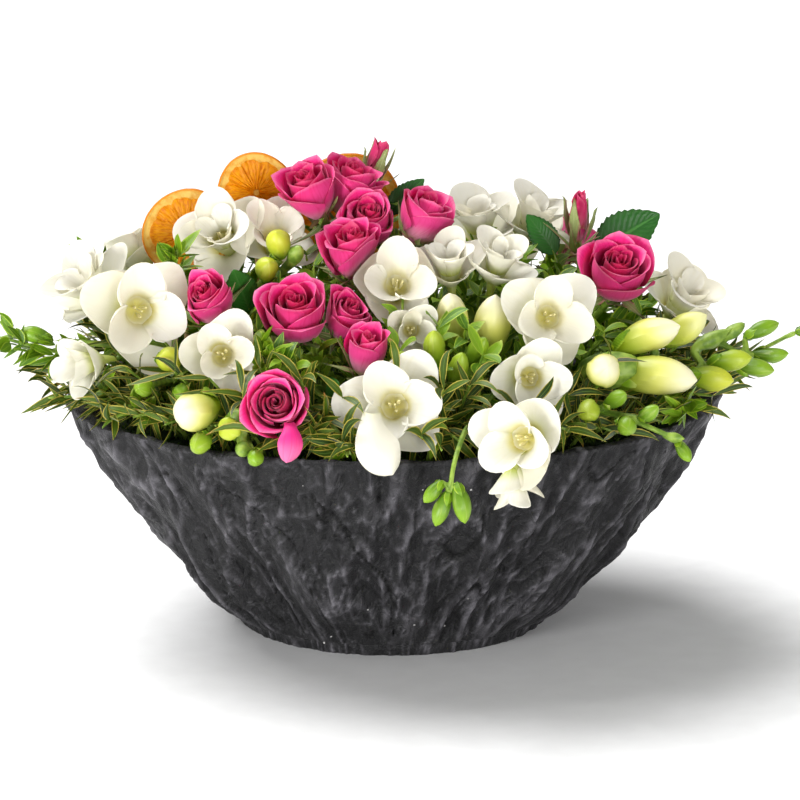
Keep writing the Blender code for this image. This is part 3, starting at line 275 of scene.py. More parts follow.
def bloom_spheres():
    """Node, centre and radius of every bloom."""
    spheres = []
    for node, (centre, _, radius, _, _, _) in ROSES.items():
        spheres.append((node, np.asarray(centre, float), radius))
    for node, blooms in FREESIAS.items():
        for centre, _, radius, _, _ in blooms:
            spheres.append((node, np.asarray(centre, float), radius))
    return spheres


def bloom_mover(base, facing, turn, planes):
    """Function that takes points about +Z to a bloom's place and bends them off its planes."""
    spin = axes(facing, math.radians(turn))
    return lambda points: squeezed(points @ spin.T + base, planes)


# Mesh making

class Growth:
    """One piece under construction: points in mm, faces, and what each point tells its material.

    A point tells four numbers: how far along, how far across (0.5 is the middle), a tint that
    differs from petal to petal, and 1 on the outside or 0 on the inside.
    """

    def __init__(self):
        self.points = []
        self.tells = []
        self.faces = []
        self.finishes = []
        self.count = 0

    def add(self, points, faces, tells, finish):
        """Add points, the faces between them, what they tell, and the faces' material number."""
        points = np.asarray(points, float).reshape(-1, 3)
        self.points.append(points)
        self.tells.append(np.asarray(tells, float).reshape(-1, 4))
        self.faces += [tuple(int(corner) + self.count for corner in face) for face in faces]
        self.finishes += [finish] * len(faces)
        self.count += len(points)

    def sheet(self, grid, thickness, tint, finish=0):
        """Closed blade around a grid of points, thinning to its outline."""
        rows, columns = grid.shape[:2]
        normal = np.cross(np.gradient(grid, axis=1), np.gradient(grid, axis=0))
        normal /= np.maximum(np.linalg.norm(normal, axis=2, keepdims=True), 1e-9)
        inside = np.zeros((rows, columns), bool)
        inside[1:-1, 1:-1] = True
        offset = 0.5 * thickness * normal
        front = np.where(inside[..., None], grid - offset, grid)
        back = (grid + offset)[inside]
        v, u = grid_shares(rows, columns, 0)
        outside = np.where(inside, 0.0, 0.5)
        tells = np.stack((v, u, np.full_like(v, tint), outside), axis=-1)
        back_tells = np.stack((v, u, np.full_like(v, tint), np.ones_like(v)), axis=-1)[inside]
        number = np.arange(rows * columns).reshape(rows, columns)
        behind = number.copy()
        behind[inside] = rows * columns + np.arange(inside.sum())
        faces = []
        for layer, order in ((number, (3, 2, 1, 0)), (behind, (0, 1, 2, 3))):
            corners = (layer[:-1, :-1], layer[:-1, 1:], layer[1:, 1:], layer[1:, :-1])
            stack = np.stack([corners[k].ravel() for k in order], axis=1)
            faces += stack.tolist()
        self.add(np.vstack((front.reshape(-1, 3), back)), faces,
                 np.vstack((tells.reshape(-1, 4), back_tells)), finish)

    def rings(self, rings, tint, finish=0, outside=1.0, ends=(True, True)):
        """Closed skin over rings of points of one count, with flat ends."""
        rings = np.asarray(rings, float)
        rows, sides = rings.shape[:2]
        number = np.arange(rows * sides).reshape(rows, sides)
        after = np.roll(number, -1, axis=1)
        faces = np.stack((number[:-1].ravel(), after[:-1].ravel(), after[1:].ravel(),
                          number[1:].ravel()), axis=1).tolist()
        if ends[0]:
            faces.append(number[0, ::-1].tolist())
        if ends[1]:
            faces.append(number[-1].tolist())
        v, u = np.meshgrid(np.linspace(0, 1, rows), np.arange(sides) / sides, indexing="ij")
        tells = np.stack((v, u, np.full_like(v, tint), np.full_like(v, outside)), axis=-1)
        self.add(rings, faces, tells, finish)

    def tube(self, points, radii, sides=8, tint=0.5, finish=0):
        """Round rod along the points."""
        self.rings(tube_rings(points, radii, sides), tint, finish)

    def build(self, name, materials, sharp=60.0):
        """The finished object, in metres, smooth but for edges over the sharp angle."""
        mesh = bpy.data.meshes.new(name)
        mesh.from_pydata((np.vstack(self.points) * MM).tolist(), [], self.faces)
        for material in materials:
            mesh.materials.append(material)
        mesh.polygons.foreach_set("material_index", self.finishes)
        tell = mesh.attributes.new("tell", "FLOAT_COLOR", "POINT")
        tell.data.foreach_set("color", np.vstack(self.tells).astype(np.float32).ravel())
        mesh.shade_smooth()
        mesh.set_sharp_from_angle(angle=math.radians(sharp))
        mesh.update()
        return put(name, mesh)


def tube_rings(points, radii, sides):
    """Rings of points around a curve."""
    points = np.asarray(points, float)
    radii = np.broadcast_to(radii, len(points))
    heading = np.gradient(points, axis=0)
    across = axes(heading[0])[:, 0]
    angles = np.linspace(0, 2 * math.pi, sides, endpoint=False)
    rings = []
    for point, along, radius in zip(points, heading, radii):
        along = unit(along)
        across = unit(across - along * (across @ along))
        over = np.cross(along, across)
        rings.append(point + radius * (np.outer(np.cos(angles), across)
                                       + np.outer(np.sin(angles), over)))
    return np.array(rings)


def put(name, data):
    """New object of some data, in the scene."""
    made = bpy.data.objects.new(name, data)
    bpy.context.scene.collection.objects.link(made)
    return made


def settle(piece, slot, *nodes):
    """Ride on the body and stand for the given nodes; the slot is not used."""
    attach(piece, "root")
    if nodes:
        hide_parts(*nodes)


def polar(radius, angle, height):
    """Points around +Z at a radius, an angle and a height."""
    return np.stack((radius * np.cos(angle), radius * np.sin(angle), height), axis=-1)


def lathe(profile, sides):
    """Rings of points around +Z through the (radius, height) pairs of a profile."""
    angles = np.linspace(0, 2 * math.pi, sides, endpoint=False)
    return np.array([polar(radius, angles, np.full(sides, height)) for radius, height in profile])


def grid_shares(rows, columns, first=-1):
    """For each point of a grid, how far along it is from 0 to 1 and how far across up to 1."""
    return np.meshgrid(np.linspace(0, 1, rows), np.linspace(first, 1, columns), indexing="ij")


def jitter(draw, reach):
    """Small random shift, up to the reach along each axis."""
    return np.array([draw.uniform(-reach, reach) for _ in range(3)])


def smooth(x):
    """Eased step from 0 to 1."""
    x = np.clip(x, 0.0, 1.0)
    return x * x * (3 - 2 * x)


def bezier(points, count):
    """Quadratic curve through three points."""
    first, middle, last = (np.asarray(point, float) for point in points)
    control = 2 * middle - 0.5 * (first + last)
    t = np.linspace(0, 1, count)[:, None]
    return (1 - t) ** 2 * first + 2 * t * (1 - t) * control + t ** 2 * last


# Materials

def linear(text):
    """Linear colour with alpha from an sRGB hex value."""
    values = [int(text[k:k + 2], 16) / 255 for k in (1, 3, 5)]
    return [v / 12.92 if v <= 0.04045 else ((v + 0.055) / 1.055) ** 2.4 for v in values] + [1.0]


class Surface:
    """A material under construction, its Principled shader, and what its points tell it."""

    def __init__(self, name, **values):
        self.material = bpy.data.materials.new(name)
        self.material.use_nodes = True
        self.tree = self.material.node_tree
        self.shader = self.tree.nodes["Principled BSDF"]
        for key, value in values.items():
            self.shader.inputs[key.replace("_", " ")].default_value = value
        tell = self.add("Attribute", attribute_name="tell")
        parts = self.add("SeparateColor", {"Color": tell.outputs["Color"]})
        self.along = parts.outputs["Red"]
        self.across = parts.outputs["Green"]
        self.tint = parts.outputs["Blue"]
        self.outside = tell.outputs["Alpha"]

    def add(self, kind, values=(), **settings):
        """Add a node with its settings; a value is set on its socket, and a socket is linked."""
        made = self.tree.nodes.new("ShaderNode" + kind)
        for name, value in settings.items():
            setattr(made, name, value)
        for name, value in dict(values).items():
            if isinstance(value, bpy.types.NodeSocket):
                self.tree.links.new(value, made.inputs[name])
            else:
                made.inputs[name].default_value = value
        return made

    def math(self, operation, *values):
        """Result of one operation on numbers or sockets."""
        return self.add("Math", dict(enumerate(values)), operation=operation).outputs[0]

    def place(self):
        """Place of the shaded point, in metres."""
        return self.add("NewGeometry").outputs["Position"]

    def noise(self, place, scale, detail):
        """Cloudy noise, from 0 to 1."""
        values = {"Vector": place, "Scale": scale, "Detail": detail}
        return self.add("TexNoise", values).outputs[0]

    def streaks(self, count, length, seed):
        """Noise drawn out along a petal or leaf, as its veins are: count across, a few along."""
        wide = self.math("MULTIPLY", self.across, count)
        long = self.math("MULTIPLY", self.along, length)
        spread = self.math("MULTIPLY", self.tint, seed)
        return self.noise(self.add("CombineXYZ", {0: wide, 1: long, 2: spread}).outputs[0], 1.0, 3.0)

    def blend(self, share, first, second, low=0.0, high=1.0, strength=1.0):
        """Colour that goes from the first to the second as share goes from low to high."""
        ease = self.add("MapRange", {0: share, 1: low, 2: high, 3: 0.0, 4: strength},
                        interpolation_type="SMOOTHSTEP")
        ends = {0: ease.outputs[0]}
        for socket, value in ((6, first), (7, second)):
            ends[socket] = linear(value) if isinstance(value, str) else value
        return self.add("Mix", ends, data_type="RGBA").outputs[2]

    def cover(self, colour, relief=None, strength=0.0, depth=0.0):
        """Put the colour on the surface and, where there is one, a relief of a depth in mm."""
        self.tree.links.new(colour, self.shader.inputs["Base Color"])
        if relief is not None:
            bump = self.add("Bump", {"Strength": strength, "Distance": depth * MM, "Height": relief})
            self.tree.links.new(bump.outputs[0], self.shader.inputs["Normal"])

    def let_light_through(self, colour, share):
        """Mix a thin petal's or leaf's own glow against the light into its surface."""
        glow = self.add("BsdfTranslucent", {"Color": colour})
        mixed = self.add("MixShader", {0: share, 1: self.shader.outputs[0], 2: glow.outputs[0]})
        output = self.tree.nodes["Material Output"]
        self.tree.links.new(mixed.outputs[0], output.inputs["Surface"])


def rose_velvet():
    """Rose petal: fine velvet of cells, deep pink inside, paler and cooler on the backs."""
    look = Surface("rose_petal_velvet", Roughness=0.48, Sheen_Weight=0.25, Sheen_Roughness=0.4,
                   Specular_IOR_Level=0.35)
    look.shader.inputs["Sheen Tint"].default_value = linear("#FFC4DC")
    veins = look.streaks(26.0, 2.5, 40.0)
    inner = look.blend(look.along, "#C00A56", "#F43090", 0.20, 0.86)
    outer = look.blend(look.along, "#DDD08E", "#F09CBC", 0.05, 0.30)
    outer = look.blend(look.along, outer, "#E6448F", 0.26, 0.66)
    colour = look.blend(look.outside, inner, outer, 0.35, 0.65)
    colour = look.blend(look.along, colour, "#FA9AC2", 0.90, 1.0, 0.6)
    colour = look.blend(veins, colour, "#D00A58", 0.45, 0.75, 0.35)
    colour = look.blend(look.tint, colour, "#CE084E", 0.35, 1.0, 0.75)
    look.cover(colour, veins, 0.25, 0.4)
    look.let_light_through(colour, 0.26)
    return look.material


def freesia_wax():
    """Freesia tepal: waxy white, creamy yellow-green in the throat and at the tube."""
    look = Surface("freesia_petal_wax", Roughness=0.42, Sheen_Weight=0.1, Specular_IOR_Level=0.4)
    veins = look.streaks(20.0, 2.0, 40.0)
    inner = look.blend(look.along, "#F0E48A", "#F8F6EE", 0.05, 0.36)
    outer = look.blend(look.along, "#CAD65C", "#F9F7EC", 0.05, 0.60)
    colour = look.blend(look.outside, inner, outer, 0.3, 0.7)
    colour = look.blend(veins, colour, "#F0ECD8", 0.45, 0.8, 0.4)
    colour = look.blend(look.tint, colour, "#F7F3E2", 0.4, 1.0, 0.6)
    look.cover(colour, veins, 0.22, 0.7)
    look.let_light_through(colour, 0.38)
    return look.material


def freesia_bud_skin():
    """Freesia bud: green at its foot through yellow-green to cream on the large ones."""
    look = Surface("freesia_bud_skin", Roughness=0.38, Specular_IOR_Level=0.45)
    veins = look.streaks(14.0, 1.5, 40.0)
    small = look.blend(look.along, "#557C12", "#82AA20", 0.1, 0.95)
    middle = look.blend(look.along, "#769C18", "#CDD23C", 0.10, 0.90)
    large = look.blend(look.along, "#98B01A", "#E2E070", 0.12, 0.72)
    large = look.blend(look.along, large, "#F5EFCC", 0.56, 1.0)
    colour = look.blend(look.tint, small, middle, 0.20, 0.60)
    colour = look.blend(look.tint, colour, large, 0.60, 0.88)
    colour = look.blend(veins, colour, "#DDE28C", 0.5, 0.8, 0.3)
    look.cover(colour, veins, 0.3, 0.4)
    look.let_light_through(colour, 0.12)
    return look.material


def green_stem():
    """Living stem: smooth green skin, mottled lighter and browner along its length."""
    look = Surface("green_stem", Roughness=0.45, Specular_IOR_Level=0.4)
    place = look.place()
    mottle = look.noise(place, 180.0, 3.0)
    colour = look.blend(mottle, "#5F7F26", "#93AE45", 0.35, 0.65)
    look.cover(colour)
    return look.material


def leaf_skin(name, dark, light, edge, vein, tip, rough):
    """Leaf: waxy upper side, dull paler underside, pale midrib and side veins, coloured edge."""
    look = Surface(name, Roughness=rough, Specular_IOR_Level=0.32)
    side = look.math("ABSOLUTE", look.math("SUBTRACT", look.across, 0.5))
    slant = look.math("MULTIPLY_ADD", side, -0.55, look.along)
    ribs = look.math("SINE", look.math("MULTIPLY", slant, 70.0))
    mottle = look.streaks(5.0, 4.0, 30.0)
    colour = look.blend(look.tint, dark, light, 0.0, 1.0)
    colour = look.blend(mottle, colour, light, 0.45, 0.8, 0.4)
    colour = look.blend(ribs, colour, vein, 0.75, 1.0, 0.15)
    colour = look.blend(side, vein, colour, 0.01, 0.05)
    colour = look.blend(side, colour, edge, 0.34, 0.44, 0.95)
    dried = look.math("MULTIPLY", look.along, look.tint)
    colour = look.blend(dried, colour, tip, 0.72, 0.92)
    colour = look.blend(look.outside, colour, light, 0.5, 1.0, 0.35)
    look.cover(colour, look.math("MULTIPLY_ADD", side, 9.0, ribs), 0.18, 0.4)
    look.let_light_through(colour, 0.15)
    return look.material


def stamen_pollen():
    """Stamen: pale waxy thread with a powdery cream end."""
    look = Surface("stamen_pollen", Roughness=0.7)
    colour = look.blend(look.along, "#F2F0CF", "#E9DFA6", 0.5, 0.7)
    look.cover(colour)
    return look.material


def dried_orange():
    """Oven-dried orange: glassy amber flesh, cream membranes and pith, leathery orange rind."""
    look = Surface("dried_orange_slice", Roughness=0.38, Specular_IOR_Level=0.2)
    place = look.place()
    cells = look.streaks(14.0, 7.0, 5.0)
    fine = look.noise(place, 260.0, 4.0)
    flesh = look.blend(cells, "#E08200", "#F4A602", 0.33, 0.62)
    flesh = look.blend(fine, flesh, "#CC6600", 0.54, 0.74, 0.6)
    flesh = look.blend(look.tint, "#EE9C14", flesh, 0.05, 0.30)
    pith = look.blend(fine, "#F4CE68", "#E6A634", 0.4, 0.7)
    colour = look.blend(look.outside, pith, flesh, 0.25, 0.75)
    colour = look.blend(look.along, colour, "#E48E12", 0.925, 0.965)
    colour = look.blend(look.along, colour, "#C26A12", 0.985, 1.0, 0.7)
    look.cover(colour, cells, 0.5, 0.6)
    look.let_light_through(colour, 0.28)
    return look.material


def birch_wood():
    """Turned birch pick: pale wood with long fine grain."""
    look = Surface("birch_pick", Roughness=0.6)
    grain = look.streaks(12.0, 6.0, 10.0)
    colour = look.blend(grain, "#B98F5A", "#DDBB88", 0.3, 0.7)
    look.cover(colour)
    return look.material


def black_clay():
    """Hand-pressed blackened clay: charcoal, with painted highlight in lighter grey on the ridges and
    painted shade in near black in the cracks and creases.
    """
    look = Surface("black_clay", Specular_IOR_Level=0.28)
    place = look.place()
    drawn = look.add("Mapping", {"Vector": place, "Scale": (1.0, 1.0, 0.4)}).outputs[0]
    smear = look.add("TexNoise", {"Vector": drawn, "Scale": 150.0, "Detail": 7.0,
                                  "Roughness": 0.6, "Distortion": 0.8}).outputs[0]
    grit = look.noise(place, 900.0, 3.0)
    specks = look.add("TexVoronoi", {"Vector": place, "Scale": 260.0}, feature="F1")
    chosen = look.add("SeparateColor", {"Color": specks.outputs["Color"]}).outputs["Red"]
    near = look.math("LESS_THAN", specks.outputs["Distance"], 0.16)
    few = look.math("GREATER_THAN", chosen, 0.988)
    # Painted highlight: the ridge share lightens the charcoal towards grey.
    colour = look.blend(look.along, "#1B1B1C", "#67656A", 0.03, 0.80)
    colour = look.blend(smear, colour, "#171618", 0.42, 0.56, 0.45)
    colour = look.blend(grit, colour, "#454346", 0.60, 0.80, 0.25)
    # Painted shade: the crack share turns the cracks and creases near black.
    colour = look.blend(look.across, colour, "#050505", 0.1, 0.8)
    colour = look.blend(look.math("MULTIPLY", near, few), colour, "#B9B7B5", 0.5, 1.0)
    rough = look.add("MapRange", {0: smear, 1: 0.3, 2: 0.7, 3: 0.36, 4: 0.62})
    look.tree.links.new(rough.outputs[0], look.shader.inputs["Roughness"])
    look.cover(colour, look.math("MULTIPLY_ADD", smear, 6.0, grit), 0.75, 1.1)
    return look.material


def wet_foam():
    """Wet flower foam: dull dark green with fine open cells."""
    look = Surface("wet_flower_foam", Roughness=0.9)
    place = look.place()
    cells = look.add("TexVoronoi", {"Vector": place, "Scale": 700.0}).outputs["Distance"]
    colour = look.blend(cells, "#12200F", "#2E4A22", 0.1, 0.7)
    look.cover(colour, cells, 0.6, 0.6)
    return look.material


def cushion_moss():
    """Cushion moss: dark at the roots, yellow-green at the tips."""
    look = Surface("cushion_moss", Roughness=0.8, Specular_IOR_Level=0.2)
    colour = look.blend(look.along, "#1C2A10", "#5E7A24", 0.1, 1.0)
    colour = look.blend(look.tint, colour, "#3A5A1C", 0.4, 1.0, 0.6)
    look.cover(colour)
    return look.material


def white_paper():
    """Seamless white studio paper: matt, with hardly visible pulp."""
    look = Surface("white_studio_paper", Roughness=0.9, Specular_IOR_Level=0.1)
    place = look.place()
    pulp = look.noise(place, 60.0, 2.0)
    colour = look.blend(pulp, "#F8F8F8", "#FCFCFC", 0.3, 0.7)
    look.cover(colour)
    return look.material


# Bowl and moss

def bowl_half_width(height):
    """Smooth half-width of the bowl's outside at a height."""
    share = np.clip(height / BOWL_HEIGHT, 0.0, 1.0) ** BOWL_CURVE
    return FOOT_HALF_WIDTH + (RIM_HALF_WIDTH - FOOT_HALF_WIDTH) * share


def bowl_inside(height):
    """Half-width of the bowl's straight-sided inside at a height."""
    levels = (FLOOR_THICKNESS, 0.5 * BOWL_HEIGHT, BOWL_HEIGHT - 2.0)
    return float(np.interp(height, levels, [bowl_half_width(level) - WALL for level in levels]))


def bowl_relief(angle, share):
    """Broad slanting folds of the outside, and one lump at the right."""
    broad, middle, fine = BOWL_FOLDS
    folds = (1.5 + broad * math.sin(7 * angle + 3.0 * share + 0.8 * math.sin(3 * angle))
             + middle * math.sin(12 * angle - 5.5 * share + 1.0)
             + fine * math.sin(17 * angle + 8.0 * share + 1.5 * math.sin(5 * angle)))
    lump = BOWL_LUMP * math.exp(-((angle + 0.25) / 0.22) ** 2 - ((share - 0.42) / 0.16) ** 2)
    fade = min(1.0, share / 0.14) * (1.0 - 0.6 * share ** 4)
    return (folds + lump) * fade


def crest(value, width):
    """Sharp ridge, from 0 to 1, along the zero line of a noise value."""
    return max(0.0, 1.0 - abs(value) / width)


def clay_relief(angle, height):
    """Lift in mm of the hand-pressed clay, its painted highlight share on the ridges, and its painted
    shade share in the cracks and creases.
    """
    place = Vector((130 * math.cos(angle), 130 * math.sin(angle), 0.30 * height))
    bent = place + 9.0 * noise.noise_vector(place / 26.0)
    folds = crest(noise.noise(bent / 17.0), 0.40)
    pleats = crest(noise.noise(bent / 8.5 + Vector((5.0, 2.0, 8.0))), 0.36)
    nicks = crest(noise.noise(bent / 4.2 + Vector((1.0, 9.0, 4.0))), 0.36)
    dent = noise.noise(Vector((bent.x, bent.y, 0.6 * height)) / 24.0)
    split = crest(noise.noise(bent / 27.0 + Vector((7.0, 3.0, 1.0))), 0.035) * (dent > -0.05)
    way = (96.0 - height) / 62.0
    if -0.1 < way < 1.1:
        line = -1.78 + 0.24 * way + 0.012 * math.sin(11.0 * way)
        split = max(split, crest(130.0 * (angle - line), 2.0) * min(1.0, 8 * (1.1 - way)))
    lift = 3.1 * folds + 2.1 * pleats * (0.4 + 0.6 * folds) + 1.3 * nicks + 1.8 * dent - 3.2
    # Painted highlight: the crests of the folds, pleats and nicks get a share that lightens their
    # colour where sheen would fall.
    ridge_highlight = 0.34 * folds ** 4 + 0.52 * pleats ** 5 * (0.4 + 0.6 * folds) + 0.36 * nicks ** 4
    crease = crest(noise.noise(bent / 12.0 + Vector((3.0, 6.0, 2.0))), 0.06)
    lift -= 0.35 * crease
    # Painted shade: the third value darkens the carved cracks and creases in colour, as shade in them
    # would.
    return lift - 1.9 * split, min(1.0, ridge_highlight), max(split, 0.75 * crease)


def build_bowl(clay):
    """Bowl: foot lip, rough outside wall, uneven rim, plain inside and floor."""
    noise.seed_set(CLAY_SEED)
    angles = np.linspace(-math.pi, math.pi, BOWL_SIDES, endpoint=False)
    wall_top = BOWL_HEIGHT - 2.0
    foot = FOOT_HALF_WIDTH + FOOT_LIP
    lip = ((-1.0, 0.0), (0.0, 1.0), (1.0, 3.5), (1.8, 5.5), (1.6, 6.6), (1.2, 7.4))
    outline = [(0.0, 0.3), (40.0, 0.3), (78.0, 0.0)] + [(foot + out, height) for out, height in lip]
    outline += [(bowl_half_width(height), height)
                for height in np.linspace(FOOT_LIP_HEIGHT, wall_top, BOWL_RINGS)]
    outline.append((RIM_HALF_WIDTH - 1.2, BOWL_HEIGHT - 0.8))
    outer_rings = len(outline)
    outline += [(RIM_HALF_WIDTH - 0.5 * WALL, BOWL_HEIGHT),
                (RIM_HALF_WIDTH - WALL + 1.0, BOWL_HEIGHT - 0.7)]
    outline += [(bowl_inside(height), height) for height in (118.0, 112.0, 104.0, 61.5, 9.0)]
    outline += [(30.0, FLOOR_THICKNESS), (0.5, FLOOR_THICKNESS)]
    rings = []
    tells = []
    ratio = RIM_HALF_DEPTH / RIM_HALF_WIDTH
    for number, (half_width, height) in enumerate(outline):
        outer = number < outer_rings
        share = (height - FOOT_LIP_HEIGHT) / (wall_top - FOOT_LIP_HEIGHT)
        fade = float(smooth((height - 5.0) / 12.0)) if outer else 0.0
        least = 0.30 if outer and half_width > FOOT_HALF_WIDTH and height < 9.0 else 0.0
        ring = []
        for angle in angles:
            # Painted light: the second value is the painted highlight on the ridges and the third the
            # painted shade in the cracks, both kept in the points' tells.
            lift, light, crack_shade = clay_relief(angle, height)
            out = lift * max(fade, least)
            if fade:
                out += bowl_relief(angle, max(share, 0.0))
            top = min(0.25 * lift, 0.6) if height > BOWL_HEIGHT - 3.0 else 0.0
            ring.append(((half_width + out) * math.cos(angle),
                         (half_width * ratio + out) * math.sin(angle), height + top))
            tells.append((light, crack_shade * fade, 0.5, max(share, 0.0)))
        rings.append(ring)
    bowl = Growth()
    bowl.rings(rings, 0.5)
    bowl.tells = [np.array(tells)]
    piece = bowl.build("clay_bowl", [clay], 75.0)
    settle(piece, "bowl_dark", "bowl")


def moss_swell(x, y, share):
    """Height in mm of the moss cushions at a place, and at its share of the way to the wall."""
    swell = noise.fractal(Vector((x, y, 0)) / 14.0, 1.0, 2.0, 3)
    return 3.0 * max(-0.4, swell) + 2.0 * (1 - share)


def build_moss(moss):
    """Bed of cushion moss over the foam, with short curved shoots."""
    draw = random.Random(MOSS_SEED)
    bed = Growth()
    rings = []
    edge = bowl_inside(FOAM_TOP) - 1.0
    for share in np.linspace(1.0, 0.02, MOSS_RINGS):
        ring = []
        for side in range(MOSS_SIDES):
            angle = 2 * math.pi * side / MOSS_SIDES
            x, y = edge * share * math.cos(angle), edge * share * 0.88 * math.sin(angle)
            lift = 1.5 + moss_swell(x, y, share) if share < 1.0 else 0.3
            ring.append((x, y, FOAM_TOP + lift))
        rings.append(ring)
    bed.rings(rings, 0.5)
    for _ in range(MOSS_SHOOTS):
        angle = draw.uniform(0, 2 * math.pi)
        share = math.sqrt(draw.random())
        x, y = edge * 0.985 * share * math.cos(angle), edge * 0.86 * share * math.sin(angle)
        root = np.array((x, y, FOAM_TOP + 0.8 + moss_swell(x, y, share)))
        lean = np.array((draw.uniform(-0.8, 0.8), draw.uniform(-0.8, 0.8), 1.0))
        length = draw.uniform(3.5, 7.0)
        tip = root + unit(lean) * length
        middle = 0.5 * (root + tip) + np.array((0, 0, 0.12 * length))
        bed.tube((root, middle, tip), (0.70, 0.55, 0.08), 3, draw.random())
    settle(bed.build("moss_bed", [moss], 80.0), "foam_green")


# Blooms

def petal(azimuth, start, lean, length, half_width, spread, twist, tip, size, curl=0.0,
          curl_from=0.7, cup=0.0, ruffle=0.0, phase=0.0, point=0.0):
    """Middle surface of a petal that wraps an axis along +Z, as a grid of points.

    It leaves the (radius, height) start, and its slope away from the axis goes from the first
    lean angle to the second, plus a curl at its end. Its edges wrap no further than the spread,
    in degrees, and twist sets one edge further out than the other. Tip rounds its end, which may have
    a small point, cup bends its edges towards the axis, and ruffle waves them.
    """
    rows, columns = size
    v, u = grid_shares(rows, columns)
    run = v * (1 - tip * np.abs(u) ** 2.2 * v ** 2)
    run = (run + point * np.exp(-(u / 0.16) ** 2) * v ** 8) / (1 + point)
    steps = np.linspace(0, 1, 61)
    slope = np.radians(lean[0] + (lean[1] - lean[0]) * steps
                       + curl * smooth((steps - curl_from) / (1 - curl_from)))
    reach = np.concatenate(([0.0], np.cumsum(np.sin(slope[:-1])))) / 60
    rise = np.concatenate(([0.0], np.cumsum(np.cos(slope[:-1])))) / 60
    radius = start[0] + length * np.interp(run, steps, reach)
    height = start[1] + length * np.interp(run, steps, rise)
    shoulder = 1.0 - 0.16 * smooth((v - 0.62) / 0.38)
    width = half_width * np.sin(math.pi * 0.68 * v) * shoulder + 0.05 * half_width
    angle = math.radians(azimuth) + u * np.minimum(width / radius, math.radians(spread))
    edge = np.abs(u) ** 2
    radius = radius + twist * u * np.minimum(1.0, 4 * v) - cup * edge * v * half_width
    wave = ruffle * edge * v * np.sin(7.0 * v + 3.5 * u + phase)
    radius = np.maximum(radius + wave, 0.4)
    return polar(radius, angle, height + 0.6 * wave)


def hang_petal(growth, name, half_width, first, tint):
    """Loose petal that hangs from a bloom; its colours start at the first share of a petal's."""
    side = np.array((1.0, 0.15, 0.0))
    rows, columns = 27, 11
    grid = leaf_grid(*(np.array(place) for place in HANGING_PETALS[name]), side, half_width,
                     hanging_outline, rows, columns, 0.0)
    v, u = grid_shares(rows, columns)
    grid[..., 1] += half_width * (0.34 * u ** 2 - 0.05 * u ** 2 * np.sin(9.0 * v + 2.0 * u))
    growth.sheet(grid, PETAL_THICKNESS, tint)
    growth.tells[-1][:, 0] = first + (1.0 - first) * growth.tells[-1][:, 0]


def hanging_outline(v):
    """Outline of a hanging petal: narrow foot, widest past the middle, round end."""
    end = np.sqrt(np.clip(1.0 - (np.clip(v - 0.55, 0.0, 1.0) / 0.453) ** 2, 0.0, 1.0))
    return (0.40 + 0.60 * smooth(v / 0.6)) * end + 0.01


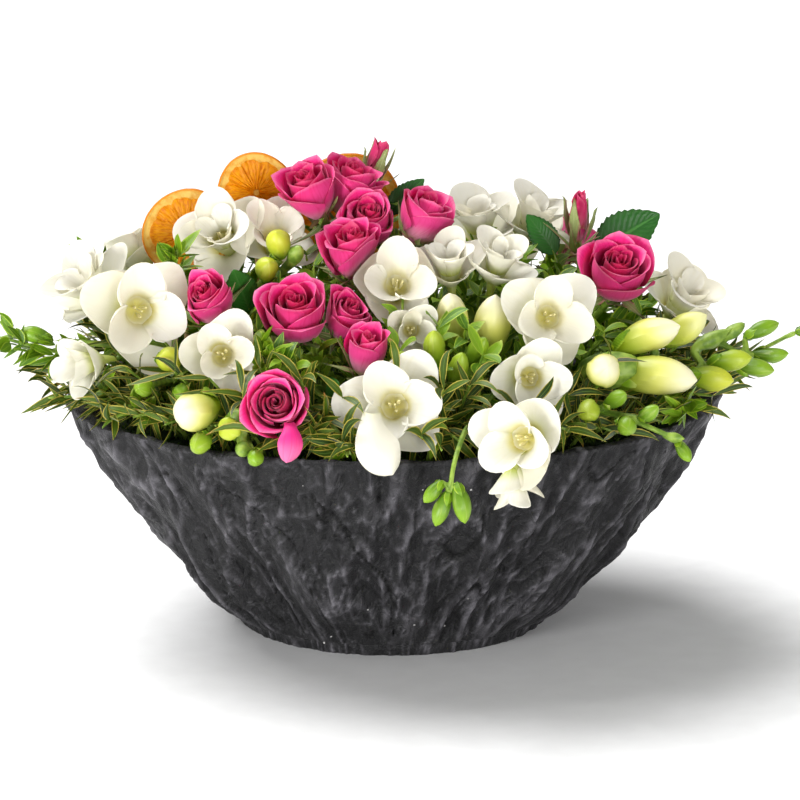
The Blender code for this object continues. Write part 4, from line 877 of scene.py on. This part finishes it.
def build_rose(name, centre, facing, radius, height, layers, turn, planes, skins, draw):
    """Rose head: a coiled heart, then petals in rings that open and roll back outwards."""
    facing = unit(facing)
    base = np.asarray(centre, float) - 0.5 * height * facing
    move = bloom_mover(base, facing, turn, planes)
    head = Growth()
    cup = [(0.19, 0.01), (0.34, 0.06), (0.42, 0.14), (0.42, 0.24), (0.30, 0.30), (0.05, 0.32)]
    head.rings(move(lathe([(r * radius, h * height) for r, h in cup], BLOOM_SIDES)), 0.3)
    v, t = grid_shares(7, 38, 0)
    coil = 0.05 + (0.24 if layers > 1 else 0.16) * t
    swirl = 2 * math.pi * 2.1 * t
    flare = 1.0 + 0.18 * smooth((v - 0.75) / 0.25)
    top = 0.60 + 0.05 * np.sin(2.3 * swirl)
    grid = polar(coil * flare * radius, swirl, height * (0.26 + top * v * (1 - 0.06 * t)))
    head.sheet(move(grid), PETAL_THICKNESS, 0.9)
    # First angle, start, lean, length, half-width, curl, cup, depth of colour of each ring
    rows = [
        (0, (0.25, 0.20), (9, -11), 0.72, 0.52, 24, 0.04, 0.95),
        (60, (0.33, 0.15), (17, -15), 0.80, 0.74, 44, 0.03, 0.80),
        (10, (0.39, 0.12), (30, -20), 0.88, 0.95, 74, 0.0, 0.55),
        (70, (0.42, 0.10), (42, -22), 0.92, 1.05, 92, -0.04, 0.30),
        (30, (0.43, 0.09), (54, -15), 0.86, 1.02, 105, -0.10, 0.10),
    ]
    shown = {1: rows[:2], 2: rows[:4], 3: rows}[layers]
    mood = draw.uniform(-5, 3)
    for first, start, lean, length, half_width, curl, cup, depth in shown:
        for number in range(3):
            azimuth = first + 120.0 * number + draw.uniform(-9, 9)
            opened = mood + draw.uniform(-4, 3)
            grid = petal(azimuth, (start[0] * radius, start[1] * height),
                         (lean[0] + opened, lean[1] + opened),
                         length * height * draw.uniform(0.92, 1.04),
                         half_width * radius * draw.uniform(0.94, 1.06), spread=84,
                         twist=draw.uniform(0.8, 1.5), tip=0.20, size=(16, 13),
                         curl=curl * draw.uniform(0.5, 1.25), curl_from=0.70, cup=cup, ruffle=0.6,
                         phase=draw.uniform(0, 6), point=0.04)
            head.sheet(move(grid), PETAL_THICKNESS, depth + draw.uniform(-0.1, 0.05))
    if layers > 1:
        for number in range(5):
            grid = petal(72 * number + draw.uniform(-9, 9), (0.20 * radius, 0.02 * height),
                         (62, 100 + draw.uniform(-35, 10)), 0.80 * height * draw.uniform(0.8, 1.15),
                         0.17 * radius, spread=60, twist=0.2, tip=0.9, size=(12, 3),
                         curl=draw.uniform(-70, -10), curl_from=0.55)
            head.sheet(move(grid), LEAF_THICKNESS, draw.random(), 1)
    if layers == 1:
        for number in range(4):
            grid = petal(90 * number + 20, (0.40 * radius, 0.02 * height), (30, -8),
                         0.86 * height * draw.uniform(0.85, 1.1), 0.42 * radius, spread=60,
                         twist=0.3, tip=0.9, size=(13, 7), curl=draw.uniform(10, 70),
                         curl_from=0.75)
            head.sheet(move(grid), LEAF_THICKNESS, draw.random(), 1)
    if name in HANGING_PETALS:
        hang_petal(head, name, 6.0, 0.86, 0.0)
    piece = head.build(name + "_head", skins)
    settle(piece, "rose_petal", name)
    return piece


def build_freesia(name, blooms, spheres, wax, pollen, draw):
    """Freesia blooms of one node: a funnel, two whorls of broad tepals, stamens and a style."""
    flower = Growth()
    for centre, facing, radius, opening, turn in blooms:
        planes = neighbour_planes(name, centre, radius, spheres)
        facing = unit(facing)
        length = 0.95 * radius
        base = np.asarray(centre, float) - 1.15 * radius * facing
        move = bloom_mover(base, facing, turn, planes)
        # Radius, height, place along the petals' colours, and 1 on the outside
        funnel = [(TUBE_FOOT, 0.0, 0.0, 1), (0.10 * radius, 0.25, 0.08, 1),
                  (0.15 * radius, 0.50, 0.16, 1), (0.20 * radius, 0.66, 0.22, 1),
                  (0.27 * radius, 0.91, 0.28, 1), (0.29 * radius, 1.0, 0.30, 1),
                  (0.26 * radius, 0.98, 0.26, 0), (0.20 * radius, 0.86, 0.16, 0),
                  (0.11 * radius, 0.79, 0.08, 0), (0.01 * radius, 0.76, 0.06, 0)]
        profile = [(r, h * length) for r, h, _, _ in funnel]
        flower.rings(move(lathe(profile, BLOOM_SIDES)), 0.3)
        flower.tells[-1][:, 0] = np.repeat([along for _, _, along, _ in funnel], BLOOM_SIDES)
        flower.tells[-1][:, 3] = np.repeat([outside for _, _, _, outside in funnel], BLOOM_SIDES)
        last = 22 + 62 * opening
        # First angle, start, lean, length, half-width, curl, cup of each whorl
        whorls = [
            (30, (0.17, 0.55), (32 + 14 * opening, last - 2), 1.24, 1.00, 10, 0.13),
            (90, (0.24, 0.88), (15, last - 14), 1.10, 0.96, 12, 0.18),
        ]
        if opening >= 0.5 and draw.random() < 0.6:
            whorls.append((50, (0.20, 0.84), (4, 0.50 * last), 0.90, 0.72, 24, 0.16))
        for first, start, lean, reach, half_width, curl, cup in whorls:
            for number in range(3):
                azimuth = first + 120.0 * number + draw.uniform(-6, 6)
                tilt = draw.uniform(-8, 6)
                grid = petal(azimuth, (start[0] * radius, start[1] * length),
                             (lean[0], lean[1] + tilt),
                             reach * radius * draw.uniform(0.94, 1.04),
                             half_width * radius * draw.uniform(0.92, 1.05), spread=68,
                             twist=draw.uniform(-1.0, 1.0), tip=0.34, size=(15, 15),
                             curl=curl * draw.uniform(-1.5, 1.8), curl_from=0.6, cup=cup,
                             ruffle=0.055 * radius, phase=draw.uniform(0, 6))
                flower.sheet(move(grid), PETAL_THICKNESS, draw.random())
        for number in range(4):
            angle = math.radians(120 * number + 15)
            spread = 0.0 if number == 3 else 0.12 * radius
            top = (1.28 if number == 3 else 1.16) * length
            foot = polar(0.3 * spread, angle, 0.5 * length)
            tip = polar(spread, angle, top)
            path = bezier((foot, 0.5 * (foot + tip), tip), 7)
            radii = (0.35, 0.35, 0.35, 0.4, 0.9, 0.95, 0.4) if number < 3 else (0.4,) * 7
            flower.tube(move(path), radii, 6, 0.5, 1)
    if name in HANGING_PETALS:
        hang_petal(flower, name, 10.5, 0.24, 0.9)
    piece = flower.build(name + "_bloom", [wax, pollen])
    settle(piece, "freesia_petal", name)
    return piece


# Dried slices and their picks

def build_slice(name, centre, facing, radius, amber):
    """Dried slice: rind, sunken pith, and flesh in wedges parted by thin membranes."""
    sides = 162
    shares = np.concatenate((np.linspace(0.02, 0.80, 27), np.linspace(0.815, 1.0, 12)))
    spin = axes(facing)
    half = 0.5 * SLICE_THICKNESS
    layers = [(1, share) for share in shares] + [(-1, share) for share in shares[::-1]]
    rings = []
    tells = []
    for side_sign, share in layers:
        ring = []
        for side in range(sides):
            angle = 2 * math.pi * side / sides
            turn = angle * SLICE_WEDGES / (2 * math.pi) + 0.08 * math.sin(3 * angle)
            wedge = abs((turn % 1.0) - 0.5) * 2
            inside = 1.0 - float(smooth((wedge - 0.84) / 0.16))
            end = 0.83 - 0.07 * wedge ** 3 + 0.02 * noise.noise(Vector((5 * turn, radius, 0)))
            flesh = float(smooth((end - share) / 0.035)) * float(smooth((share - 0.05) / 0.05))
            place = Vector((side_sign * 9 + share * 3.0, 6 * turn, radius))
            pulp = noise.noise(place) * 0.34 + 0.22 * noise.noise(place * 2.7)
            ridge = 0.66 + 0.30 * (1 - inside) * flesh + (pulp + 0.05) * inside * flesh
            rind = float(smooth((share - 0.90) / 0.05))
            crinkle = 0.10 * noise.noise(Vector((9 * math.cos(angle), 9 * math.sin(angle), share * 4)))
            lift = half * (ridge + rind * (0.26 + crinkle))
            lift *= math.sqrt(max(0.0, 1.0 - max(0.0, (share - 0.96) / 0.042) ** 2))
            reach = radius * share * (1.0 + 0.02 * math.sin(3 * angle + radius) + 0.05 * crinkle)
            warp = 1.6 * math.sin(2 * angle) * share ** 2
            ring.append((reach * math.cos(angle), reach * math.sin(angle), side_sign * lift + warp))
            tells.append((share, turn % 1.0, inside * flesh + 0.3 * pulp * flesh, flesh))
        rings.append(ring)
    rings = np.array(rings) @ spin.T + np.asarray(centre, float)
    disc = Growth()
    disc.rings(rings, 0.5)
    disc.tells = [np.array(tells)]
    piece = disc.build(name + "_dried", [amber], 80.0)
    settle(piece, "dried_orange", name)
    return piece


def build_pick(name, birch):
    """Round wooden pick along the solid's own line."""
    low, high = (np.array(corner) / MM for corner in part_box(name))
    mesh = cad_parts[name].data
    points = np.array([corner.co for corner in mesh.vertices]) / MM
    top = points[points[:, 2] > high[2] - 3.0].mean(axis=0)
    foot = points[points[:, 2] < low[2] + 3.0].mean(axis=0)
    stick = Growth()
    path = foot + (top - foot) * np.array((0.0, 0.03, 0.5, 0.985, 1.0))[:, None]
    stick.tube(path, (0.5, 1.1, 1.1, 1.05, 0.6), 12)
    piece = stick.build(name + "_birch", [birch])
    settle(piece, "pick_wood", name)
    return piece


# Stems, buds and leaves

def read_growth(name):
    """The node's bare stems, and where its leaves and buds and its toothed leaves' outlines are."""
    model = bmesh.new()
    model.from_mesh(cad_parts[name].data)
    bmesh.ops.remove_doubles(model, verts=model.verts, dist=2e-6)
    bmesh.ops.scale(model, vec=(1 / MM,) * 3, verts=model.verts)
    leaves, buds, toothed, gone = [], [], [], set()
    for corner in model.verts:
        ring = [edge.other_vert(corner) for edge in corner.link_edges]
        if len(ring) not in (4, 5, 6) or gone.intersection(ring):
            continue
        tip = np.array(corner.co)
        places = np.array([other.co for other in ring])
        lengths = np.linalg.norm(places - tip, axis=1)
        middle = places.mean(axis=0)
        beyond = {edge.other_vert(other) for other in ring for edge in other.link_edges}
        beyond = list(beyond - set(ring) - {corner})
        if not beyond:
            continue
        root = np.array([other.co for other in beyond]).mean(axis=0)
        radii = np.linalg.norm(places - middle, axis=1)
        if len(ring) == 4:
            gaps = [(np.linalg.norm(places[a] - places[b]), a, b)
                    for a in range(4) for b in range(a + 1, 4)]
            width, a, b = max(gaps)
            c, d = (k for k in range(4) if k not in (a, b))
            thin = np.linalg.norm(places[c] - places[d])
            if thin < 1.5 and width > 3.0 and lengths.min() > 4.0:
                leaves.append((root, 0.5 * (places[a] + places[b]), tip, places[a] - places[b]))
                gone.update(ring + [corner])
        elif radii.max() < 1.06 * radii.min() and lengths.max() < 1.04 * lengths.min():
            axis = unit(tip - middle)
            if radii.mean() < 1.6 or (tip - middle) @ axis < 0.5:
                continue
            second = np.array([other.co for other in beyond])
            wide = np.linalg.norm((second - root) - np.outer((second - root) @ axis, axis), axis=1)
            large = len(beyond) == len(ring) and wide.mean() > 1.15 * radii.mean()
            size = wide.mean() if large else radii.mean()
            length = ((tip - middle) @ axis) / (0.18 if large else 0.58)
            buds.append((tip - axis * length, axis, length, size))
            gone.update(ring + [corner])
            if large:
                gone.update(beyond)
    for corner in list(model.verts):
        if len(corner.link_edges) < 17 or corner in gone:
            continue
        ring = [edge.other_vert(corner) for edge in corner.link_edges]
        places = np.array([other.co for other in ring])
        spans = np.linalg.svd(places - places.mean(axis=0))[1]
        if spans[1] < 15.0 or spans[2] > 4.5:
            continue
        hub = [other for other in model.verts if other is not corner and other not in gone
               and (other.co - corner.co).length < 1.6 and len(other.link_edges) >= 12]
        toothed.append(places)
        gone.update([corner] + ring + hub)
    bmesh.ops.delete(model, geom=list(gone), context="VERTS")
    loose = [edge for edge in model.edges if len(edge.link_faces) == 1]
    bmesh.ops.holes_fill(model, edges=loose, sides=0)
    bmesh.ops.recalc_face_normals(model, faces=model.faces)
    return model, leaves, buds, toothed


def smooth_stems(model):
    """Rounded points and faces of the stems: swollen a little, then subdivided."""
    for corner in model.verts:
        corner.co += corner.normal * 0.28
    mesh = bpy.data.meshes.new("stems")
    model.to_mesh(mesh)
    model.free()
    holder = put("stems", mesh)
    rounding = holder.modifiers.new("rounding", "SUBSURF")
    rounding.levels = rounding.render_levels = 2
    bpy.context.view_layer.update()
    rounded = bpy.data.meshes.new_from_object(
        holder.evaluated_get(bpy.context.evaluated_depsgraph_get()))
    points = np.array([corner.co for corner in rounded.vertices])
    faces = [tuple(face.vertices) for face in rounded.polygons]
    bpy.data.objects.remove(holder)
    return points, faces


def leaf_grid(root, middle, tip, side, half_width, shape, rows=11, columns=7, fold=0.16, droop=0.0):
    """Grid of a leaf blade along a curved midrib, folded up at both sides of it."""
    line = bezier((root, middle, tip), rows)
    v = np.linspace(0, 1, rows)
    heading = np.gradient(line, axis=0)
    heading /= np.linalg.norm(heading, axis=1, keepdims=True)
    across = side - (heading @ side)[:, None] * heading
    across /= np.linalg.norm(across, axis=1, keepdims=True)
    up = np.cross(heading, across)
    up *= np.where((up @ np.array((0, 0, 1.0))).mean() < 0, -1.0, 1.0)
    width = half_width * shape(v)
    u = np.linspace(-1, 1, columns)
    lift = fold * np.abs(u)[None, :] * width[:, None] - droop * (v ** 2)[:, None]
    return (line[:, None, :] + u[None, :, None] * (width[:, None, None] * across[:, None, :])
            + lift[..., None] * up[:, None, :])


def oval(v):
    """Outline of a broad leaf: short stalk, widest before the middle, pointed end."""
    return 0.10 + 0.95 * np.sin(math.pi * np.clip(v, 0, 1) ** 0.85) ** 0.85 - 0.08 * v


def lance(v):
    """Outline of a narrow leaf."""
    return 0.12 + 0.90 * np.sin(math.pi * np.clip(v, 0, 1) ** 0.8) ** 1.1 - 0.10 * v


def sepal_outline(v):
    """Outline of a sepal: broad foot that runs out in a thread."""
    return 0.10 + 1.0 * np.sin(math.pi * (0.12 + 0.88 * v) ** 0.62) ** 1.2 * (1 - 0.35 * v)


def toothed_outline(v):
    """Outline of a rose leaf with pointed teeth."""
    blade = 0.08 + 0.92 * np.sin(math.pi * v ** 0.8) ** 0.8
    return blade * (0.93 + 0.12 * ((v * 11) % 1.0)) - 0.06 * v


def add_bud(growth, root, axis, length, size, draw):
    """Bud: rounded club with three seams of wrapped tepals, in two green bracts at its foot."""
    rows, sides = 14, 21
    spin = axes(axis, draw.uniform(0, 6))
    twist = draw.uniform(0.25, 0.6)
    v = np.linspace(0, 1, rows)
    radii = size * 1.03 * np.sin(math.pi * (0.10 + 0.896 * v ** 1.25)) ** 0.66
    bow = 0.07 * length * np.sin(math.pi * v) * draw.uniform(-1, 1)
    angles = 2 * math.pi * np.arange(sides) / sides
    rings = []
    for share, radius, bend in zip(v, radii, bow):
        wrap = (1.5 * angles / math.pi + twist * share) % 1.0
        reach = radius * (1.0 - 0.15 * math.sin(math.pi * share) * wrap ** 1.5)
        ring = polar(reach, angles, np.full(sides, length * share))
        rings.append(ring + (bend, 0.0, 0.0))
    ripe = np.clip((size - 3.6) / 4.6, 0, 1)
    growth.rings(np.array(rings) @ spin.T + root, ripe * draw.uniform(0.85, 1.0), BUD)
    for side in (0.0, math.pi):
        out = spin @ np.array((math.cos(side), math.sin(side), 0.0))
        foot = root - axis * 0.05 * length + out * 0.25 * size
        middle = root + axis * 0.16 * length + out * 0.92 * size
        tip = root + axis * 0.36 * length + out * 1.10 * size
        across = np.cross(axis, out)
        grid = leaf_grid(foot, middle, tip, across, 0.62 * size, lance, 7, 5, 0.0)
        grid -= np.abs(np.linspace(-1, 1, 5))[None, :, None] * out * 0.30 * size
        growth.sheet(grid, LEAF_THICKNESS, draw.random(), SMALL)


def add_toothed_leaf(growth, outline, draw):
    """Rose leaf with a toothed edge, fitted to the outline of its solid."""
    centre = outline.mean(axis=0)
    _, _, spread = np.linalg.svd(outline - centre)
    along = spread[0] if spread[0][2] > 0 else -spread[0]
    half_width = 0.95 * np.abs((outline - centre) @ spread[1]).max()
    reach = (outline - centre) @ along
    outward = np.array((0.0, -0.9 if centre[1] < 45 else 0.9, 0.45))
    across = unit(np.cross(along, outward))
    root = centre + along * reach.min()
    tip = centre + along * reach.max()
    middle = 0.5 * (root + tip) + 1.5 * outward
    grid = leaf_grid(root, middle, tip, across, half_width, toothed_outline, 40, 9, 0.16)
    growth.sheet(grid, LEAF_THICKNESS, draw.random(), TOOTHED)


def search_tree(solids):
    """Search tree over the faces of some objects, in mm."""
    points = []
    faces = []
    for solid in solids:
        first = len(points)
        points += [corner.co / MM for corner in solid.data.vertices]
        faces += [tuple(first + k for k in face.vertices) for face in solid.data.polygons]
    return BVHTree.FromPolygons(points, faces)


def add_free_leaf(growth, tree, grid, finish, draw):
    """Add a leaf if it crosses nothing in the tree and stays inside the arrangement's outline."""
    points = grid.reshape(-1, 3)
    rows, columns = grid.shape[:2]
    size = np.hypot(points[:, 0] / OUTLINE_HALF_WIDTH, points[:, 1] / OUTLINE_HALF_DEPTH).max()
    low = points[:, 2].min()
    if (low < OUTLINE_TOP and size > 0.92) or low < FOAM_TOP or not in_box(points):
        return False
    quads = [(k, k + 1, k + columns + 1, k + columns)
             for k in range((rows - 1) * columns) if (k + 1) % columns]
    if tree.overlap(BVHTree.FromPolygons(points.tolist(), quads)):
        return False
    growth.sheet(grid, LEAF_THICKNESS, draw.random(), finish)
    return True


def leaf_kind(narrow):
    """Outline and skin of a narrow leaf or of a small broad one."""
    return (lance, NARROW) if narrow else (oval, SMALL)


def in_box(points):
    """Whether the points lie inside the solids' box, in mm."""
    low, high = np.array(cad_box) / MM
    return (points > low + 1.0).all() and (points < high - 1.0).all()


def build_green(name, slot, skins, draw, tree, leafy=False):
    """Stems of one node, with its own leaves, sepals and buds drawn finely."""
    model, leaves, buds, toothed = read_growth(name)
    points, faces = smooth_stems(model)
    growth = Growth()
    growth.add(points, faces, np.full((len(points), 4), 0.5), STEM)
    rose = name in ROSE_STEMS
    for root, middle, tip, side in leaves:
        side = unit(side)
        length = np.linalg.norm(tip - root)
        if rose:
            away = unit(tip - root)
            end = tip + away * 0.10 * length + jitter(draw, 2)
            grid = leaf_grid(root - away, middle, end, side, 2.7, sepal_outline, 12, 5, -0.25,
                             draw.uniform(-3.0, 3.0))
            growth.sheet(grid, LEAF_THICKNESS, draw.random(), SMALL)
            continue
        narrow = length > 22
        half_width = 2.3 if narrow else min(3.3, 0.18 * length)
        shape, skin = leaf_kind(narrow)
        bend = jitter(draw, 1)
        droop = draw.uniform(-0.5, 1.5)
        for raised in np.arange(0.0, 12.0, 2.5):
            up = np.array((0.0, 0.0, raised))
            grid = leaf_grid(root - unit(tip - root), middle + 0.5 * (bend + up), tip + bend + up,
                             side, half_width, shape, 10, 5, 0.22, droop)
            if add_free_leaf(growth, tree, grid, skin, draw):
                break
        for _ in range(EXTRA_LEAVES if leafy else 0):
            spin = axes(tip - root, draw.uniform(0, 6))
            away = unit(spin[:, 2] + draw.uniform(0.35, 0.95) * spin[:, 0])
            start = root + jitter(draw, 3)
            end = start + away * length * draw.uniform(0.65, 0.95)
            bowed = 0.5 * (start + end) + draw.uniform(-0.10, 0.12) * length * spin[:, 1]
            grid = leaf_grid(start, bowed, end, spin[:, 1], 0.85 * half_width, shape, 7, 3, 0.22)
            add_free_leaf(growth, tree, grid, skin, draw)
    for root, axis, length, size in buds:
        add_bud(growth, root, axis, length, size, draw)
    for outline in toothed:
        add_toothed_leaf(growth, outline, draw)
    piece = growth.build(name + "_growth", skins, 28.0)
    settle(piece, slot, name)


def build_filler(skins, tree, draw):
    """Short leafy shoots between the blooms and along the rim, clear of everything solid."""
    spheres = bloom_spheres()
    centres = np.array([centre for _, centre, _ in spheres])
    shoots = []
    for row in range(-8, 9):
        for column in range(-7, 8):
            x = SHOOT_SPACING * row + draw.uniform(-6, 6)
            y = SHOOT_SPACING * column + draw.uniform(-6, 6)
            away = math.hypot(x / 158.0, y / 138.0)
            if away > 0.97:
                continue
            near = np.argsort(np.linalg.norm(centres[:, :2] - (x, y), axis=1))[:3]
            canopy = centres[near][:, 2].mean() - 4.0
            lean = np.array((x, y, 0.0)) / 160.0 * 26.0
            tip = np.array((x, y, 0.0)) + 0.6 * lean
            tip[2] = max(136.0, min(canopy, 150.0 + 70.0 * (1 - away)))
            shoots.append(((0.86 * x, 0.86 * y, FOAM_TOP), tip, lean, away > 0.82))
    for number in range(RIM_SHOOTS):
        angle = 2 * math.pi * number / RIM_SHOOTS + draw.uniform(-0.04, 0.04)
        out = np.array((RIM_HALF_WIDTH * math.cos(angle), RIM_HALF_DEPTH * math.sin(angle), 0.0))
        tip = out * draw.uniform(0.98, 1.06)
        tip[2] = draw.uniform(127, 137)
        shoots.append(((0.74 * out[0], 0.74 * out[1], FOAM_TOP + 2), tip, out * 0.06, True))
    fillers = [Growth(), Growth()]
    for number, (foot, tip, lean, narrow) in enumerate(shoots):
        growth = fillers[number % 2]
        middle = 0.5 * (np.asarray(foot) + tip) - 0.25 * lean
        if narrow and tip[2] < 138:
            middle[2] += 7.0
        shape, skin = leaf_kind(narrow)
        shoot = bezier((foot, middle, tip), SHOOT_STEPS)
        growth.tube(shoot, np.linspace(1.1, 0.6, SHOOT_STEPS), 4, draw.random())
        turn = draw.uniform(0, 6)
        for step in range(3, SHOOT_STEPS):
            turn += math.pi / 2 + draw.uniform(-0.5, 0.5)
            for flip in (0.0, math.pi):
                heading = unit(shoot[step] - shoot[step - 1])
                spin = axes(heading, turn + flip + draw.uniform(-0.3, 0.3))
                direction = unit(spin[:, 0] + heading * draw.uniform(0.3, 1.6))
                length = draw.uniform(17, 25) if narrow else draw.uniform(12, 19)
                root = shoot[step]
                end = root + direction * length + np.array((0, 0, -0.10 * length))
                bend = 1.3 * jitter(draw, 0.08) + (0, 0, 0.03)
                bowed = root + direction * 0.5 * length + bend * length
                grid = leaf_grid(root, bowed, end, spin[:, 1], 2.0 if narrow else 3.1, shape, 7, 3,
                                 0.22)
                add_free_leaf(growth, tree, grid, skin, draw)
    for number, growth in enumerate(fillers):
        piece = growth.build("filler_shoots_%d" % (number + 1), skins, 50.0)
        settle(piece, "leaf_green")


# Floor, light and camera

def build_set():
    """White paper floor, soft light from the upper left, and the camera."""
    mesh = bpy.data.meshes.new("paper")
    size = PAPER_HALF_SIZE
    corners = [(-size, -size, 0), (size, -size, 0), (size, size, 0), (-size, size, 0)]
    mesh.from_pydata(corners, [], [(0, 1, 2, 3)])
    mesh.materials.append(white_paper())
    floor = put("paper_floor", mesh)

    world = bpy.data.worlds.new("studio")
    world.use_nodes = True
    sky = world.node_tree.nodes["Background"]
    sky.inputs["Color"].default_value = (1.0, 1.0, 1.0, 1.0)
    sky.inputs["Strength"].default_value = SKY_STRENGTH
    bpy.context.scene.world = world

    sun = bpy.data.lights.new("window_light", "SUN")
    sun.energy = SUN_STRENGTH
    sun.angle = math.radians(SUN_SPREAD)
    put("window_light", sun).rotation_euler = Vector(SUN_FROM).to_track_quat("Z", "Y").to_euler()
    for name, place, aim, size, power in LAMPS:
        light = bpy.data.lights.new(name, "AREA")
        light.shape = "DISK"
        light.size = size
        light.energy = power
        lamp = put(name, light)
        lamp.location = place
        lamp.rotation_euler = (Vector(aim) - Vector(place)).to_track_quat("-Z", "Y").to_euler()

    camera = bpy.data.cameras.new("camera")
    camera.lens = CAMERA_LENS
    camera.clip_end = 5 * PAPER_HALF_SIZE
    eye = put("camera", camera)
    tilt = math.radians(CAMERA_TILT)
    across, up = CAMERA_AIM
    eye.location = (across, -CAMERA_DISTANCE * math.cos(tilt),
                    up + CAMERA_DISTANCE * math.sin(tilt))
    eye.rotation_euler = (math.pi / 2 - tilt, 0.0, 0.0)
    bpy.context.scene.camera = eye
    bpy.context.scene.view_settings.view_transform = "Standard"


def main():
    """Build the set, the materials and every piece, in the order of the random draws."""
    build_set()
    velvet = rose_velvet()
    wax = freesia_wax()
    stem = green_stem()
    bud = freesia_bud_skin()
    pollen = stamen_pollen()
    sepal = leaf_skin("rose_sepal", "#6E8440", "#A3B070", "#C08A7C", "#B9C48C", "#7A4A34", 0.5)
    rose_leaf = leaf_skin("rose_leaf", "#1C471B", "#377A2C", "#2A5A20", "#4E8440", "#2F6A24", 0.35)
    sprig_leaf = leaf_skin("sprig_leaf", "#44700C", "#80A81E", "#A2BC34", "#8CAA34", "#B8C860", 0.38)
    lined_leaf = leaf_skin("lined_leaf", "#22390C", "#4E6614", "#BFAF48", "#5F7E34", "#9C6C30", 0.38)
    birch = birch_wood()
    amber = dried_orange()
    build_bowl(black_clay())
    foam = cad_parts["foam"].data
    foam.materials.clear()
    foam.materials.append(wet_foam())
    build_moss(cushion_moss())

    spheres = bloom_spheres()
    draw = random.Random(GROWTH_SEED)
    blocked = [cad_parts["bowl"]]
    for name, (centre, facing, radius, height, layers, turn) in ROSES.items():
        planes = neighbour_planes(name, centre, radius, spheres)
        blocked.append(build_rose(name, centre, facing, radius, height, layers, turn, planes,
                                  [velvet, sepal], draw))
    for name, blooms in FREESIAS.items():
        blocked.append(build_freesia(name, blooms, spheres, wax, pollen, draw))
    for name, (centre, facing, radius) in SLICES.items():
        blocked.append(build_slice(name, centre, facing, radius, amber))
        blocked.append(build_pick(name.replace("orange_slice", "slice_pick"), birch))
    blooms_tree = search_tree(blocked)
    for name in ROSE_STEMS:
        build_green(name, "stem_green", [stem, bud, sepal, rose_leaf], draw, blooms_tree)
    greens = [stem, bud, sprig_leaf, rose_leaf, lined_leaf]
    for name in FREESIA_STEMS:
        build_green(name, "stem_green", greens, draw, blooms_tree)
    tree = search_tree(blocked + [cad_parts[name] for name in ROSE_STEMS + FREESIA_STEMS])
    for name in SPRIGS:
        build_green(name, "leaf_green", greens, draw, tree, True)
    build_filler(greens, tree, draw)


main()
